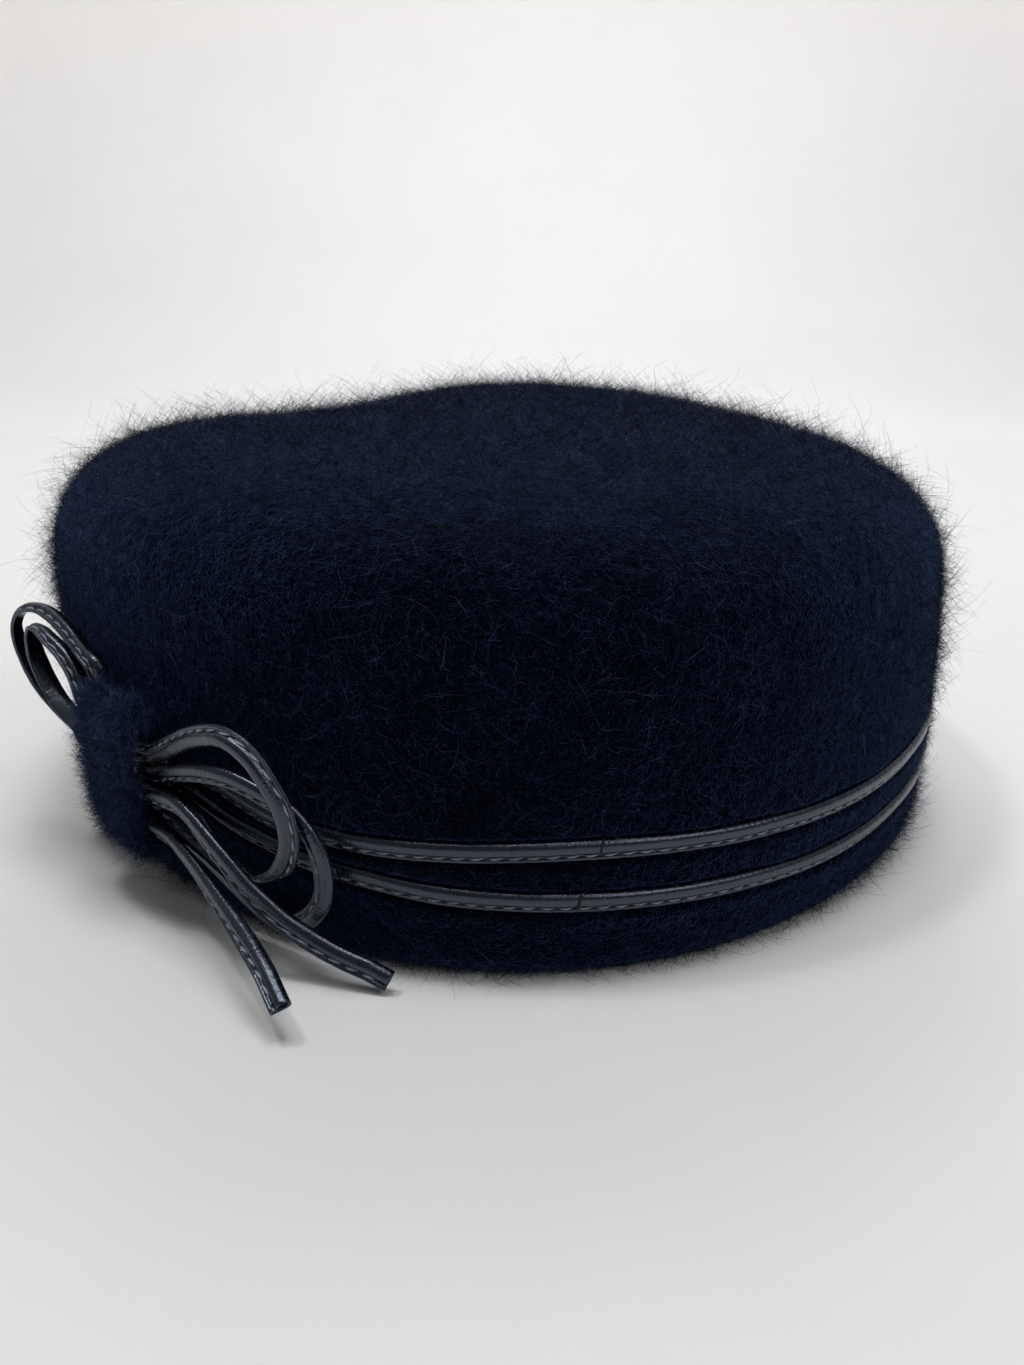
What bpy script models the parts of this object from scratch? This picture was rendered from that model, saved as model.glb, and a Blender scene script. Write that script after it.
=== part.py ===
# Soft felted pillbox hat with two leather straps and a strap bow held by a felt knot.
# The hat rests on its rim on z = 0, the middle of the head opening is at the origin,
# +Z goes up through the crown and -Y is the side that shows the front run of the straps.

import math

import bmesh
import bpy
import numpy as np
from mathutils import Vector

# Crown: overall sizes in metres
CROWN_RADIUS = 0.105
CROWN_HEIGHT = 0.088
FELT_WALL = 0.003
CROWN_SEGMENTS = 64

# Crown outline from the rim up to the middle of the top.
# Columns: height as a share of CROWN_HEIGHT, radius as a share of CROWN_RADIUS.
CROWN_OUTLINE = (
    (0.000, 0.932),
    (0.010, 0.948),
    (0.040, 0.961),
    (0.110, 0.969),
    (0.220, 0.980),
    (0.350, 0.990),
    (0.480, 0.998),
    (0.620, 1.000),
    (0.710, 0.997),
    (0.790, 0.982),
    (0.850, 0.951),
    (0.900, 0.903),
    (0.935, 0.845),
    (0.965, 0.758),
    (0.984, 0.640),
    (0.995, 0.460),
    (1.000, 0.240),
)

# How far the plan of the rim and of the top leave a circle.
# Columns: waves round the hat, depth as a share of the radius, angle of the first peak in degrees.
RIM_WAVES = ((2, 0.039, -28.0), (3, 0.014, 33.0), (4, 0.009, -7.0))
TOP_WAVES = ((2, 0.020, -43.0), (3, 0.008, -28.0))

# The top leans back and to one side: shift as shares of CROWN_RADIUS.
TOP_SHIFT = (-0.015, 0.057)
# Share of CROWN_HEIGHT at which the plan of the top is fully reached.
TOP_PLAN_LEVEL = 0.75

# Slope of the top: rise at its edge as a share of CROWN_HEIGHT, and its direction in degrees.
TOP_SLOPE = (0.046, 164.0)
# Dents of the shoulder.
# Columns: direction in degrees, half width in degrees, depth as a share of CROWN_HEIGHT.
SHOULDER_DENTS = ((138.0, 32.0, 0.205), (22.0, 28.0, 0.029))

# Leather strap: its section is a puffed tube with a flat stitched lip along one edge.
STRAP_WIDTH = 0.0041
STRAP_THICKNESS = 0.0019
STRAP_SEAT = 0.0004
# Columns: place across the width from lip to tube edge, place through the thickness from back to face.
STRAP_SECTION = (
    (-0.50, 0.10),
    (-0.50, 0.48),
    (-0.27, 0.50),
    (-0.12, 0.92),
    (0.22, 1.00),
    (0.44, 0.78),
    (0.50, 0.40),
    (0.34, 0.02),
)

# Felt knot on the crown's side, which holds the bow
KNOT_ANGLE = -137.0
KNOT_LEVEL = 0.0290
KNOT_HALF_WIDTH = 0.0090
KNOT_HALF_HEIGHT = 0.0170
KNOT_DEPTH = 0.0085
KNOT_LEAN = 14.0
# The knot sits this far along from the middle of the bow.
KNOT_SHIFT = 0.0015
KNOT_SEAT = 0.0004
KNOT_SIDES = 20
# Columns: place along the half width, height as a share of KNOT_HALF_HEIGHT, depth as a share of KNOT_DEPTH.
KNOT_SECTIONS = (
    (-1.00, 0.86, 0.90),
    (-0.90, 0.93, 0.98),
    (-0.62, 0.99, 1.00),
    (-0.20, 0.96, 0.94),
    (0.20, 0.96, 0.94),
    (0.62, 0.99, 1.00),
    (0.90, 0.93, 1.00),
    (1.00, 0.86, 0.92),
)
# The straps end this far from the knot's side faces.
ROOT_GAP = 0.0007

# Bands round the crown between the two sides of the knot.
# Columns: degrees on from the knot, height as a share of KNOT_LEVEL.
UPPER_BAND = (
    (11.0, 1.12),
    (14.5, 1.10),
    (18.0, 1.04),
    (22.0, 0.97),
    (27.0, 0.94),
    (36.0, 0.92),
    (56.0, 0.95),
    (75.0, 0.91),
    (92.0, 0.89),
    (120.0, 0.93),
    (180.0, 0.95),
    (250.0, 0.95),
    (310.0, 0.98),
    (336.0, 1.06),
    (346.0, 1.12),
)
LOWER_BAND = (
    (10.0, 0.95),
    (16.0, 0.84),
    (22.0, 0.77),
    (27.0, 0.71),
    (34.0, 0.67),
    (42.0, 0.62),
    (57.0, 0.58),
    (75.0, 0.54),
    (90.0, 0.52),
    (120.0, 0.58),
    (180.0, 0.61),
    (250.0, 0.62),
    (310.0, 0.67),
    (336.0, 0.82),
    (346.0, 0.92),
)
# Heights at which the bands leave the knot, first and last end, as shares of KNOT_LEVEL
UPPER_BAND_ROOTS = (1.15, 1.15)
LOWER_BAND_ROOTS = (0.98, 0.98)

# Bow: routes of the loops and tails beside the knot, as shares of these three sizes
BOW_REACH = 0.0360
BOW_RISE = 0.0230
BOW_STAND = 0.0100
# Direction to the front of the bow: degrees round the hat and up
BOW_LOOK = (-70.0, 22.0)
# Columns: along from the bow's middle as a share of BOW_REACH, up from KNOT_LEVEL as a share
# of BOW_RISE, out from the crown as a share of BOW_STAND, turn of the strap's face in degrees,
# how far the face looks to the front of the bow: 0 straight out from the crown, 1 along BOW_LOOK.
FRONT_LOOP = (
    (0.56, 0.46, 0.50, 0.0, 0.00),
    (0.77, 0.63, 0.64, 0.0, 0.00),
    (0.95, 0.75, 0.80, 0.0, 0.00),
    (1.10, 0.81, 0.94, 0.0, 0.00),
    (1.22, 0.77, 1.02, 0.0, 0.00),
    (1.33, 0.61, 1.04, 0.0, 0.00),
    (1.41, 0.35, 1.00, 0.0, 0.00),
    (1.42, 0.10, 0.92, 0.0, 0.00),
    (1.39, -0.10, 0.86, 5.0, 0.00),
    (1.30, -0.32, 0.74, 40.0, 0.00),
    (1.15, -0.44, 0.62, 70.0, 0.00),
    (1.00, -0.41, 0.54, 75.0, 0.00),
    (0.85, -0.28, 0.50, 60.0, 0.00),
    (0.66, -0.14, 0.43, 10.0, 0.00),
)
REAR_LOOP = (
    (0.50, 0.19, 0.42, 0.0, 0.00),
    (0.72, 0.30, 0.48, 0.0, 0.00),
    (0.90, 0.36, 0.54, 0.0, 0.00),
    (1.04, 0.37, 0.57, 0.0, 0.00),
    (1.18, 0.32, 0.58, 0.0, 0.00),
    (1.36, 0.21, 0.58, 0.0, 0.00),
    (1.46, 0.06, 0.58, 0.0, 0.00),
    (1.52, -0.15, 0.58, 0.0, 0.00),
    (1.53, -0.38, 0.58, 0.0, 0.00),
    (1.49, -0.58, 0.56, 0.0, 0.00),
    (1.39, -0.77, 0.50, 5.0, 0.00),
    (1.24, -0.91, 0.42, 10.0, 0.00),
    (1.07, -0.92, 0.38, 10.0, 0.00),
    (0.92, -0.80, 0.37, 5.0, 0.00),
    (0.62, -0.52, 0.37, 0.0, 0.00),
)
BACK_LOOP_OUTER = (
    (-0.15, 0.86, 0.26, -20.0, 0.80),
    (-0.26, 0.94, 0.27, -35.0, 1.00),
    (-0.40, 1.00, 0.27, -40.0, 1.00),
    (-0.52, 1.07, 0.32, -42.0, 1.00),
    (-0.65, 1.13, 0.43, -48.0, 1.00),
    (-0.77, 1.16, 0.62, -62.0, 1.00),
    (-0.86, 1.14, 0.85, -80.0, 1.00),
    (-0.92, 1.07, 1.03, -100.0, 1.00),
    (-0.94, 0.96, 1.14, -115.0, 1.00),
    (-0.94, 0.80, 1.13, -128.0, 1.00),
    (-0.90, 0.62, 1.04, -138.0, 1.00),
    (-0.80, 0.44, 0.90, -148.0, 1.00),
    (-0.66, 0.27, 0.69, -160.0, 1.00),
    (-0.48, 0.17, 0.53, -172.0, 1.00),
)
BACK_LOOP_INNER = (
    (-0.25, 0.55, 0.50, -15.0, 0.80),
    (-0.31, 0.70, 0.48, -32.0, 1.00),
    (-0.37, 0.81, 0.50, -38.0, 1.00),
    (-0.44, 0.91, 0.56, -42.0, 1.00),
    (-0.53, 0.99, 0.66, -48.0, 1.00),
    (-0.62, 1.04, 0.74, -65.0, 1.00),
    (-0.70, 1.04, 0.84, -90.0, 1.00),
    (-0.75, 0.96, 0.93, -120.0, 1.00),
    (-0.77, 0.82, 0.91, -145.0, 1.00),
    (-0.75, 0.68, 0.87, -158.0, 1.00),
    (-0.69, 0.54, 0.81, -166.0, 1.00),
    (-0.60, 0.40, 0.75, -172.0, 1.00),
    (-0.49, 0.30, 0.67, -176.0, 1.00),
    (-0.38, 0.24, 0.61, -180.0, 1.00),
)
FRONT_TAIL = (
    (0.42, -0.42, 0.62, 0.0, 0.00),
    (0.58, -0.47, 0.72, 0.0, 0.15),
    (0.76, -0.53, 0.90, 0.0, 0.30),
    (1.02, -0.61, 1.28, 0.0, 0.60),
    (1.24, -0.68, 1.68, 0.0, 0.85),
    (1.42, -0.75, 2.12, 0.0, 1.00),
    (1.57, -0.86, 2.60, 0.0, 1.00),
)
LONG_TAIL = (
    (0.57, 0.00, 0.68, 0.0, 0.00),
    (0.72, -0.03, 0.77, 0.0, 0.00),
    (0.83, -0.10, 0.86, 0.0, 0.10),
    (1.01, -0.28, 0.98, 0.0, 0.20),
    (1.12, -0.42, 1.02, 0.0, 0.40),
    (1.23, -0.56, 1.00, 0.0, 0.60),
    (1.32, -0.69, 0.94, 0.0, 0.80),
    (1.44, -0.82, 0.86, 0.0, 0.90),
    (1.62, -0.95, 0.82, 0.0, 0.90),
    (1.87, -1.07, 0.80, 0.0, 0.90),
)
# Where each strap of the bow leaves the knot.
# Columns: node, route, side of the knot, rise and stand of the first end, rise and stand of the
# last end or None where the strap ends free, edge of the strap that carries the stitched lip.
BOW_STRAPS = (
    ("loop_front", FRONT_LOOP, 1.0, (0.29, 0.37), (-0.12, 0.37), -1.0),
    ("loop_rear", REAR_LOOP, 1.0, (0.08, 0.37), (-0.33, 0.37), 1.0),
    ("loop_back_outer", BACK_LOOP_OUTER, -1.0, (0.58, 0.24), (0.04, 0.40), -1.0),
    ("loop_back_inner", BACK_LOOP_INNER, -1.0, (0.30, 0.51), (0.13, 0.67), -1.0),
    ("tail_front", FRONT_TAIL, 1.0, (-0.40, 0.61), None, 1.0),
    ("tail_long", LONG_TAIL, 1.0, (-0.06, 0.61), None, 1.0),
)

# Number of cross sections in each strap
BAND_STATIONS = 78
LOOP_STATIONS = 30
TAIL_STATIONS = 16


def clear_scene():
    for item in list(bpy.data.objects):
        bpy.data.objects.remove(item, do_unlink=True)


def make_material(name, colour, roughness, metallic=0.0):
    material = bpy.data.materials.new(name)
    material.use_nodes = True
    shader = material.node_tree.nodes["Principled BSDF"]
    shader.inputs["Base Color"].default_value = (*colour, 1.0)
    shader.inputs["Roughness"].default_value = roughness
    shader.inputs["Metallic"].default_value = metallic
    return material


def smooth_step(value):
    share = min(max(value, 0.0), 1.0)
    return share * share * (3.0 - 2.0 * share)


def wave_sum(waves, angle):
    return sum(depth * math.cos(count * (angle - math.radians(peak))) for count, depth, peak in waves)


def outline_radius(level):
    heights = [row[0] for row in CROWN_OUTLINE]
    radii = [row[1] for row in CROWN_OUTLINE]
    return float(np.interp(level, heights, radii))


def plan_scale(angle, level):
    """Radius factor and sideways shift of the plan at a height share."""
    blend = smooth_step(level / TOP_PLAN_LEVEL)
    waves = (1.0 - blend) * wave_sum(RIM_WAVES, angle) + blend * wave_sum(TOP_WAVES, angle)
    shift = Vector((TOP_SHIFT[0], TOP_SHIFT[1], 0.0)) * CROWN_RADIUS * blend
    return 1.0 + waves, shift


def shoulder_drop(angle):
    """Height change at the edge of the top, as a share of CROWN_HEIGHT."""
    rise, direction = TOP_SLOPE
    change = rise * math.cos(angle - math.radians(direction))
    for dent_angle, half_width, depth in SHOULDER_DENTS:
        turn = math.remainder(angle - math.radians(dent_angle), 2.0 * math.pi)
        change -= depth * math.exp(-((turn / math.radians(half_width)) ** 2))
    return change


def slump(point):
    """Carry a point of the evenly turned crown to the soft, leaning form."""
    radius = math.hypot(point.x, point.y)
    angle = math.atan2(point.y, point.x)
    level = max(point.z / CROWN_HEIGHT, 0.0)
    scale, shift = plan_scale(angle, level)
    reach = radius / CROWN_RADIUS
    drop = CROWN_HEIGHT * level**3 * reach * reach * shoulder_drop(angle)
    return Vector((radius * scale * math.cos(angle), radius * scale * math.sin(angle), point.z + drop)) + shift


def crown_side(angle, height):
    """Point on the outside of the crown's side."""
    level = height / CROWN_HEIGHT
    scale, shift = plan_scale(angle, level)
    radius = CROWN_RADIUS * outline_radius(level) * scale
    return Vector((radius * math.cos(angle), radius * math.sin(angle), height)) + shift


def side_normal(angle, height):
    """Outward direction of the crown's side, over the width of a strap."""
    reach = 0.5 * STRAP_WIDTH
    turn = reach / CROWN_RADIUS
    round_way = crown_side(angle + turn, height) - crown_side(angle - turn, height)
    up_way = crown_side(angle, height + reach) - crown_side(angle, height - reach)
    return round_way.cross(up_way).normalized()


def offset_outline(points, distance):
    """Outline moved inwards by a wall's thickness; the rim's end stays level."""
    moved = []
    last = len(points) - 1
    for index, (radius, height) in enumerate(points):
        before = points[max(index - 1, 0)]
        after = points[min(index + 1, last)]
        along = Vector((after[0] - before[0], after[1] - before[1])).normalized()
        moved.append((radius - along.y * distance, height + along.x * distance))
    moved[0] = (points[0][0] - distance, points[0][1])
    return moved


def build_crown(collection, material):
    outside = [(share * CROWN_RADIUS, level * CROWN_HEIGHT) for level, share in CROWN_OUTLINE]
    inside = offset_outline(outside, FELT_WALL)
    outside.append((0.0, CROWN_HEIGHT))
    inside.append((0.0, CROWN_HEIGHT - FELT_WALL))
    profile = list(reversed(outside)) + inside
    mesh = bpy.data.meshes.new("crown_profile")
    edges = [(index, index + 1) for index in range(len(profile) - 1)]
    mesh.from_pydata([(radius, 0.0, height) for radius, height in profile], edges, [])
    guide = bpy.data.objects.new("crown_turned", mesh)
    collection.objects.link(guide)
    screw = guide.modifiers.new("turn", "SCREW")
    screw.steps = CROWN_SEGMENTS
    screw.render_steps = CROWN_SEGMENTS
    screw.use_merge_vertices = True
    screw.merge_threshold = 0.00005
    screw.use_smooth_shade = True
    screw.use_normal_calculate = True
    turned = bpy.data.meshes.new_from_object(guide.evaluated_get(bpy.context.evaluated_depsgraph_get()))
    bpy.data.objects.remove(guide, do_unlink=True)
    form = bmesh.new()
    form.from_mesh(turned)
    bmesh.ops.remove_doubles(form, verts=form.verts, dist=0.00005)
    for vertex in form.verts:
        vertex.co = slump(vertex.co)
    bmesh.ops.recalc_face_normals(form, faces=form.faces)
    return finish_object("crown", form, collection, material)


def finish_object(name, form, collection, material):
    mesh = bpy.data.meshes.new(name)
    form.to_mesh(mesh)
    form.free()
    for face in mesh.polygons:
        face.use_smooth = True
    mesh.materials.append(material)
    item = bpy.data.objects.new(name, mesh)
    collection.objects.link(item)
    return item


def smooth_rows(rows, count):
    """Even stations on a smooth curve through the rows of a table."""
    table = np.array(rows, dtype=float)
    padded = np.vstack((2.0 * table[0] - table[1], table, 2.0 * table[-1] - table[-2]))
    fine = []
    for index in range(1, len(padded) - 2):
        p0, p1, p2, p3 = padded[index - 1 : index + 3]
        for share in np.linspace(0.0, 1.0, 24, endpoint=False):
            fine.append(
                0.5
                * (
                    2.0 * p1
                    + (p2 - p0) * share
                    + (2.0 * p0 - 5.0 * p1 + 4.0 * p2 - p3) * share**2
                    + (3.0 * p1 - p0 - 3.0 * p2 + p3) * share**3
                )
            )
    fine.append(padded[-2])
    fine = np.array(fine)
    steps = np.linalg.norm(np.diff(fine[:, :3], axis=0), axis=1)
    travel = np.concatenate(([0.0], np.cumsum(steps)))
    wanted = np.linspace(0.0, travel[-1], count)
    return np.stack([np.interp(wanted, travel, fine[:, column]) for column in range(table.shape[1])], axis=1)


def beside_knot(along, height, out):
    """Point at a distance round the crown from the bow's middle, at a height, out from the side."""
    angle = math.radians(KNOT_ANGLE) + along / CROWN_RADIUS
    outward = side_normal(angle, height)
    return crown_side(angle, height) + outward * out, outward


def route_ways(centres, leave=None, arrive=None):
    """Direction of travel at each place of a route, with the ends' own where they are given."""
    last = len(centres) - 1
    ways = [centres[min(index + 1, last)] - centres[max(index - 1, 0)] for index in range(last + 1)]
    ways[0] = leave or ways[0]
    ways[-1] = arrive or ways[-1]
    return [way.normalized() for way in ways]


def sweep_strap(name, centres, ways, faces, lip_side, collection, material):
    """Strap along a route, its face turned to the given directions."""
    form = bmesh.new()
    rings = []
    for centre, along, face in zip(centres, ways, faces):
        across = face.cross(along).normalized()
        outward = along.cross(across).normalized()
        ring = []
        for width_share, depth_share in STRAP_SECTION:
            place = centre + across * (width_share * lip_side * STRAP_WIDTH)
            place = place + outward * ((depth_share - 0.5) * STRAP_THICKNESS)
            ring.append(form.verts.new(place))
        rings.append(ring)
    join_rings(form, rings)
    return finish_object(name, form, collection, material)


def join_rings(form, rings):
    """Closed body through a row of rings, with a flat face at each end."""
    sides = len(rings[0])
    for first, second in zip(rings, rings[1:]):
        for side in range(sides):
            after = (side + 1) % sides
            form.faces.new((first[side], first[after], second[after], second[side]))
    form.faces.new(rings[0])
    form.faces.new(list(reversed(rings[-1])))
    bmesh.ops.recalc_face_normals(form, faces=form.faces)


def knot_face(side, rise):
    """Distance along the crown from the bow's middle to one of the knot's side faces, at a rise."""
    return KNOT_SHIFT + side * (KNOT_HALF_WIDTH + ROOT_GAP) + rise * math.tan(math.radians(KNOT_LEAN))


def knot_way(side, rise, out):
    """Direction straight out of one of the knot's side faces."""
    lean = math.radians(KNOT_LEAN)
    step = 0.1 * side * KNOT_HALF_WIDTH
    face = knot_face(side, rise)
    here, _ = beside_knot(face, KNOT_LEVEL + rise, out)
    there, _ = beside_knot(face + step * math.cos(lean), KNOT_LEVEL + rise - step * math.sin(lean), out)
    return there - here


def build_band(name, rows, roots, collection, material):
    lie = STRAP_SEAT + 0.5 * STRAP_THICKNESS
    arcs = [(math.radians(degrees) * CROWN_RADIUS, level * KNOT_LEVEL) for degrees, level in rows]
    first, last = ((root - 1.0) * KNOT_LEVEL for root in roots)
    arcs.insert(0, (knot_face(1.0, first), KNOT_LEVEL + first))
    arcs.append((2.0 * math.pi * CROWN_RADIUS + knot_face(-1.0, last), KNOT_LEVEL + last))
    places = [beside_knot(along, height, lie) for along, height in smooth_rows(arcs, BAND_STATIONS)]
    centres = [place for place, _ in places]
    faces = [outward for _, outward in places]
    ways = route_ways(centres, knot_way(1.0, first, lie), -knot_way(-1.0, last, lie))
    return sweep_strap(name, centres, ways, faces, 1.0, collection, material)


def bow_look():
    """Direction to the front of the bow."""
    round_way, up = (math.radians(angle) for angle in BOW_LOOK)
    return Vector((math.cos(up) * math.cos(round_way), math.cos(up) * math.sin(round_way), math.sin(up)))


def root_row(side, root, turn):
    """Row of a strap's route at the knot's side face, from its shares of rise and stand."""
    rise = root[0] * BOW_RISE
    return (knot_face(side, rise), rise, root[1] * BOW_STAND, turn, 0.0)


def build_bow_strap(name, rows, side, first, last, lip_side, collection, material):
    route = [(row[0] * BOW_REACH, row[1] * BOW_RISE, row[2] * BOW_STAND, row[3], row[4]) for row in rows]
    start = root_row(side, first, rows[0][3])
    route.insert(0, start)
    leave = knot_way(side, start[1], start[2])
    arrive = None
    stations = TAIL_STATIONS
    if last is not None:
        end = root_row(side, last, rows[-1][3])
        route.append(end)
        arrive = -knot_way(side, end[1], end[2])
        stations = LOOP_STATIONS
    smooth = smooth_rows(route, stations)
    places = [beside_knot(along, KNOT_LEVEL + rise, out) for along, rise, out in smooth[:, :3]]
    centres = [place for place, _ in places]
    ways = route_ways(centres, leave, arrive)
    faces = []
    for (_, outward), way, (turn, share) in zip(places, ways, smooth[:, 3:]):
        across = outward.lerp(bow_look(), share).cross(way).normalized()
        flat = way.cross(across).normalized()
        faces.append(flat * math.cos(math.radians(turn)) + across * math.sin(math.radians(turn)))
    return sweep_strap(name, centres, ways, faces, lip_side, collection, material)


def knot_outline(half_height, depth):
    """Rounded outline of the knot, flat on the crown's side: pairs of rise and out."""
    points = []
    for side in range(KNOT_SIDES):
        angle = 2.0 * math.pi * side / KNOT_SIDES
        rise = half_height * math.copysign(abs(math.cos(angle)) ** 0.75, math.cos(angle))
        out = 0.5 * depth * (1.0 + math.copysign(abs(math.sin(angle)) ** 0.75, math.sin(angle)))
        points.append((rise, out))
    return points


def build_knot(collection, material):
    form = bmesh.new()
    rings = []
    for along_share, height_share, depth_share in KNOT_SECTIONS:
        ring = []
        for rise, out in knot_outline(height_share * KNOT_HALF_HEIGHT, depth_share * KNOT_DEPTH):
            along = KNOT_SHIFT + along_share * KNOT_HALF_WIDTH + rise * math.tan(math.radians(KNOT_LEAN))
            place, _ = beside_knot(along, KNOT_LEVEL + rise, KNOT_SEAT + out)
            ring.append(form.verts.new(place))
        rings.append(ring)
    join_rings(form, rings)
    return finish_object("knot", form, collection, material)


def build_hat():
    clear_scene()
    collection = bpy.data.collections.new("pillbox_hat")
    bpy.context.scene.collection.children.link(collection)
    felt = make_material("felt", (0.010, 0.014, 0.030), 0.95)
    leather = make_material("leather", (0.030, 0.034, 0.045), 0.45)
    build_crown(collection, felt)
    build_band("band_upper", UPPER_BAND, UPPER_BAND_ROOTS, collection, leather)
    build_band("band_lower", LOWER_BAND, LOWER_BAND_ROOTS, collection, leather)
    build_knot(collection, felt)
    for name, rows, side, first, last, lip_side in BOW_STRAPS:
        build_bow_strap(name, rows, side, first, last, lip_side, collection, leather)


build_hat()
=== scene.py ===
# Long-napped felt pillbox hat with two leather straps and a strap bow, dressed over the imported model.
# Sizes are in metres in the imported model's frame: the rim rests on z = 0, the middle of the head
# opening is the origin, +Z goes up through the crown and -Y is the front.

import math

import bmesh
import bpy
import numpy as np
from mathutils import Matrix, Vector, noise
from mathutils.bvhtree import BVHTree


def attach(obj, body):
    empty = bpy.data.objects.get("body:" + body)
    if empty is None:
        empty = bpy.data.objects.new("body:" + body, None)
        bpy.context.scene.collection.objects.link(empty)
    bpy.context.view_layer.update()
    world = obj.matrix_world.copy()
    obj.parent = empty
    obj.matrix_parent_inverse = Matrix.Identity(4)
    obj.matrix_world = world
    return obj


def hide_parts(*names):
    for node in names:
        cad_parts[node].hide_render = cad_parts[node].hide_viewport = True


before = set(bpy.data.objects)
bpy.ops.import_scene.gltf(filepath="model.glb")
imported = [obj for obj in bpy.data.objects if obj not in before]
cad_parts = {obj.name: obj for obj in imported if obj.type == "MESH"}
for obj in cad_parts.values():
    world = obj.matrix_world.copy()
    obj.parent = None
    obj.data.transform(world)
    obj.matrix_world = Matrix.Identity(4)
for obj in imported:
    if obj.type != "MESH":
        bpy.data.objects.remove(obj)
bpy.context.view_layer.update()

MM = 0.001
# Steps on a smooth curve between two rows of its table
CURVE_STEPS = 24

# Crown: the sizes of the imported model
CROWN_RADIUS = 0.105
CROWN_HEIGHT = 0.088
FELT_WALL = 0.003
# Columns: height as a share of CROWN_HEIGHT, radius as a share of CROWN_RADIUS.
CROWN_OUTLINE = (
    (0.000, 0.932), (0.010, 0.948), (0.040, 0.961), (0.110, 0.969), (0.220, 0.980), (0.350, 0.990),
    (0.480, 0.998), (0.620, 1.000), (0.710, 0.997), (0.790, 0.982), (0.850, 0.951), (0.900, 0.903),
    (0.935, 0.845), (0.965, 0.758), (0.984, 0.640), (0.995, 0.460), (1.000, 0.240),
)
# Waves of the plan at the rim and at the top. Columns: waves round the hat, depth as a share of the
# radius, angle of the first peak in degrees.
RIM_WAVES = ((2, 0.039, -28.0), (3, 0.014, 33.0), (4, 0.009, -7.0))
TOP_WAVES = ((2, 0.020, -43.0), (3, 0.008, -28.0))
# The top's plan lies this far to +X and +Y, as shares of CROWN_RADIUS, and holds above this level.
TOP_SHIFT = (-0.015, 0.057)
TOP_PLAN_LEVEL = 0.75
# The top rises by this share of CROWN_HEIGHT towards this direction in degrees.
TOP_SLOPE = (0.046, 164.0)
# Columns: direction in degrees, half width in degrees, depth as a share of CROWN_HEIGHT.
SHOULDER_DENTS = ((138.0, 32.0, 0.205), (22.0, 28.0, 0.029))
CROWN_SEGMENTS = 200
CROWN_ROWS = 72
# The inside takes one in this many of the outside's rows.
INSIDE_STEP = 3
MERGE_DISTANCE = 0.05 * MM
# Faces that look away from this place are the outside of the crown.
HOLLOW_MIDDLE = (0.0, 0.0, 0.03)
# Soft unevenness of the felt: depth, spread, loft all over and the height where it is in full
FELT_LUMP = 0.45 * MM
FELT_LUMP_SPREAD = 17.0 * MM
FELT_PUFF = 0.50 * MM
RIM_CALM = 4.0 * MM

# Leather strap
STRAP_WIDTH = 0.0041
STRAP_THICKNESS = 0.0019
STRAP_SEAT = 0.0004
# Outline of the strap's section, a puffed tube beside a flat lip of two raw edges.
# Columns: place across the width from lip to tube edge, and through the thickness from the back.
STRAP_SECTION = (
    (-0.500, 0.14), (-0.500, 0.27), (-0.480, 0.30), (-0.500, 0.33), (-0.498, 0.46), (-0.470, 0.52),
    (-0.380, 0.52), (-0.300, 0.46), (-0.262, 0.40), (-0.225, 0.47), (-0.195, 0.64), (-0.130, 0.84),
    (-0.030, 0.96), (0.100, 1.00), (0.230, 0.98), (0.340, 0.90), (0.425, 0.76), (0.480, 0.58),
    (0.500, 0.40), (0.478, 0.21), (0.410, 0.07), (0.300, 0.00), (0.100, -0.01), (-0.100, 0.01),
    (-0.262, 0.07), (-0.400, 0.08),
)
# Step from the section's last point back to its first
SECTION_CLOSE = 0.6 * MM
# The crease between lip and tube, how far its pucker reaches, and the level where the face starts,
# all as shares of the section
CREASE_PLACE = -0.262
CREASE_LEVEL = 0.40
CREASE_REACH = 0.10
FACE_LEVEL = 0.2
STATION_STEP = 0.75 * MM
# Depths of the leather's unevenness, and its waves for each mm along and for the section's width
GRAIN_FOLD = 0.024 * MM
GRAIN_WAVES = (0.50, 1.6)
BEND_FOLD = 0.12 * MM
BEND_WAVES = (0.62, 0.9)
FOLD_LIMIT = 0.25
PUCKER = 0.07 * MM
# The tube swells by this share, in waves for each mm.
SWELL = 0.05
SWELL_WAVES = 0.12
# Stations that a bend is averaged over, and the radius of a bend that folds in full
BEND_SPAN = 9
FOLD_RADIUS = 0.008
# Rings that turn in at a cut end. Columns: share of the section, how far back from the end.
CUT_RINGS = ((0.86, 0.05 * MM), (0.72, 0.45 * MM), (0.66, 1.6 * MM))

# The bands lie in a bed in the felt: how far the strap sinks, depth, half width and edge of the bed,
# and the roll of felt beside it with its middle and spread
BAND_SINK = 0.90 * MM
BED_DEPTH = BAND_SINK + FELT_PUFF + 0.3 * MM
BED_HALF_WIDTH = 0.45 * STRAP_WIDTH
BED_EDGE = 0.9 * MM
BED_ROLL = 0.35 * MM
ROLL_MIDDLE = 3.6 * MM
ROLL_SPREAD = 2.4 * MM
# Shares of CROWN_HEIGHT that the bands keep between, and the step of the crown's rows there
BAND_ZONE = (0.11, 0.42)
BAND_ZONE_STEP = 0.6 * MM

# Stitches along the crease
STITCH_PITCH = 3.5 * MM
STITCH_LENGTH = 2.60 * MM
STITCH_START = 1.0 * MM
STITCH_END_ROOM = 1.0 * MM
STITCH_RADIUS = 0.25 * MM
STITCH_TIP = 0.55
STITCH_SLANT = 7.0
STITCH_SINK = 0.06 * MM
STITCH_ARCH = 0.34 * MM
STITCH_RINGS = 6
STITCH_SIDES = 6
# Unevenness of the stitches: share of the length, degrees of slant
STITCH_CHANGE = (0.08, 4.0)
# Marks on a thread for each mm
THREAD_MARKS = 3.0

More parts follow.
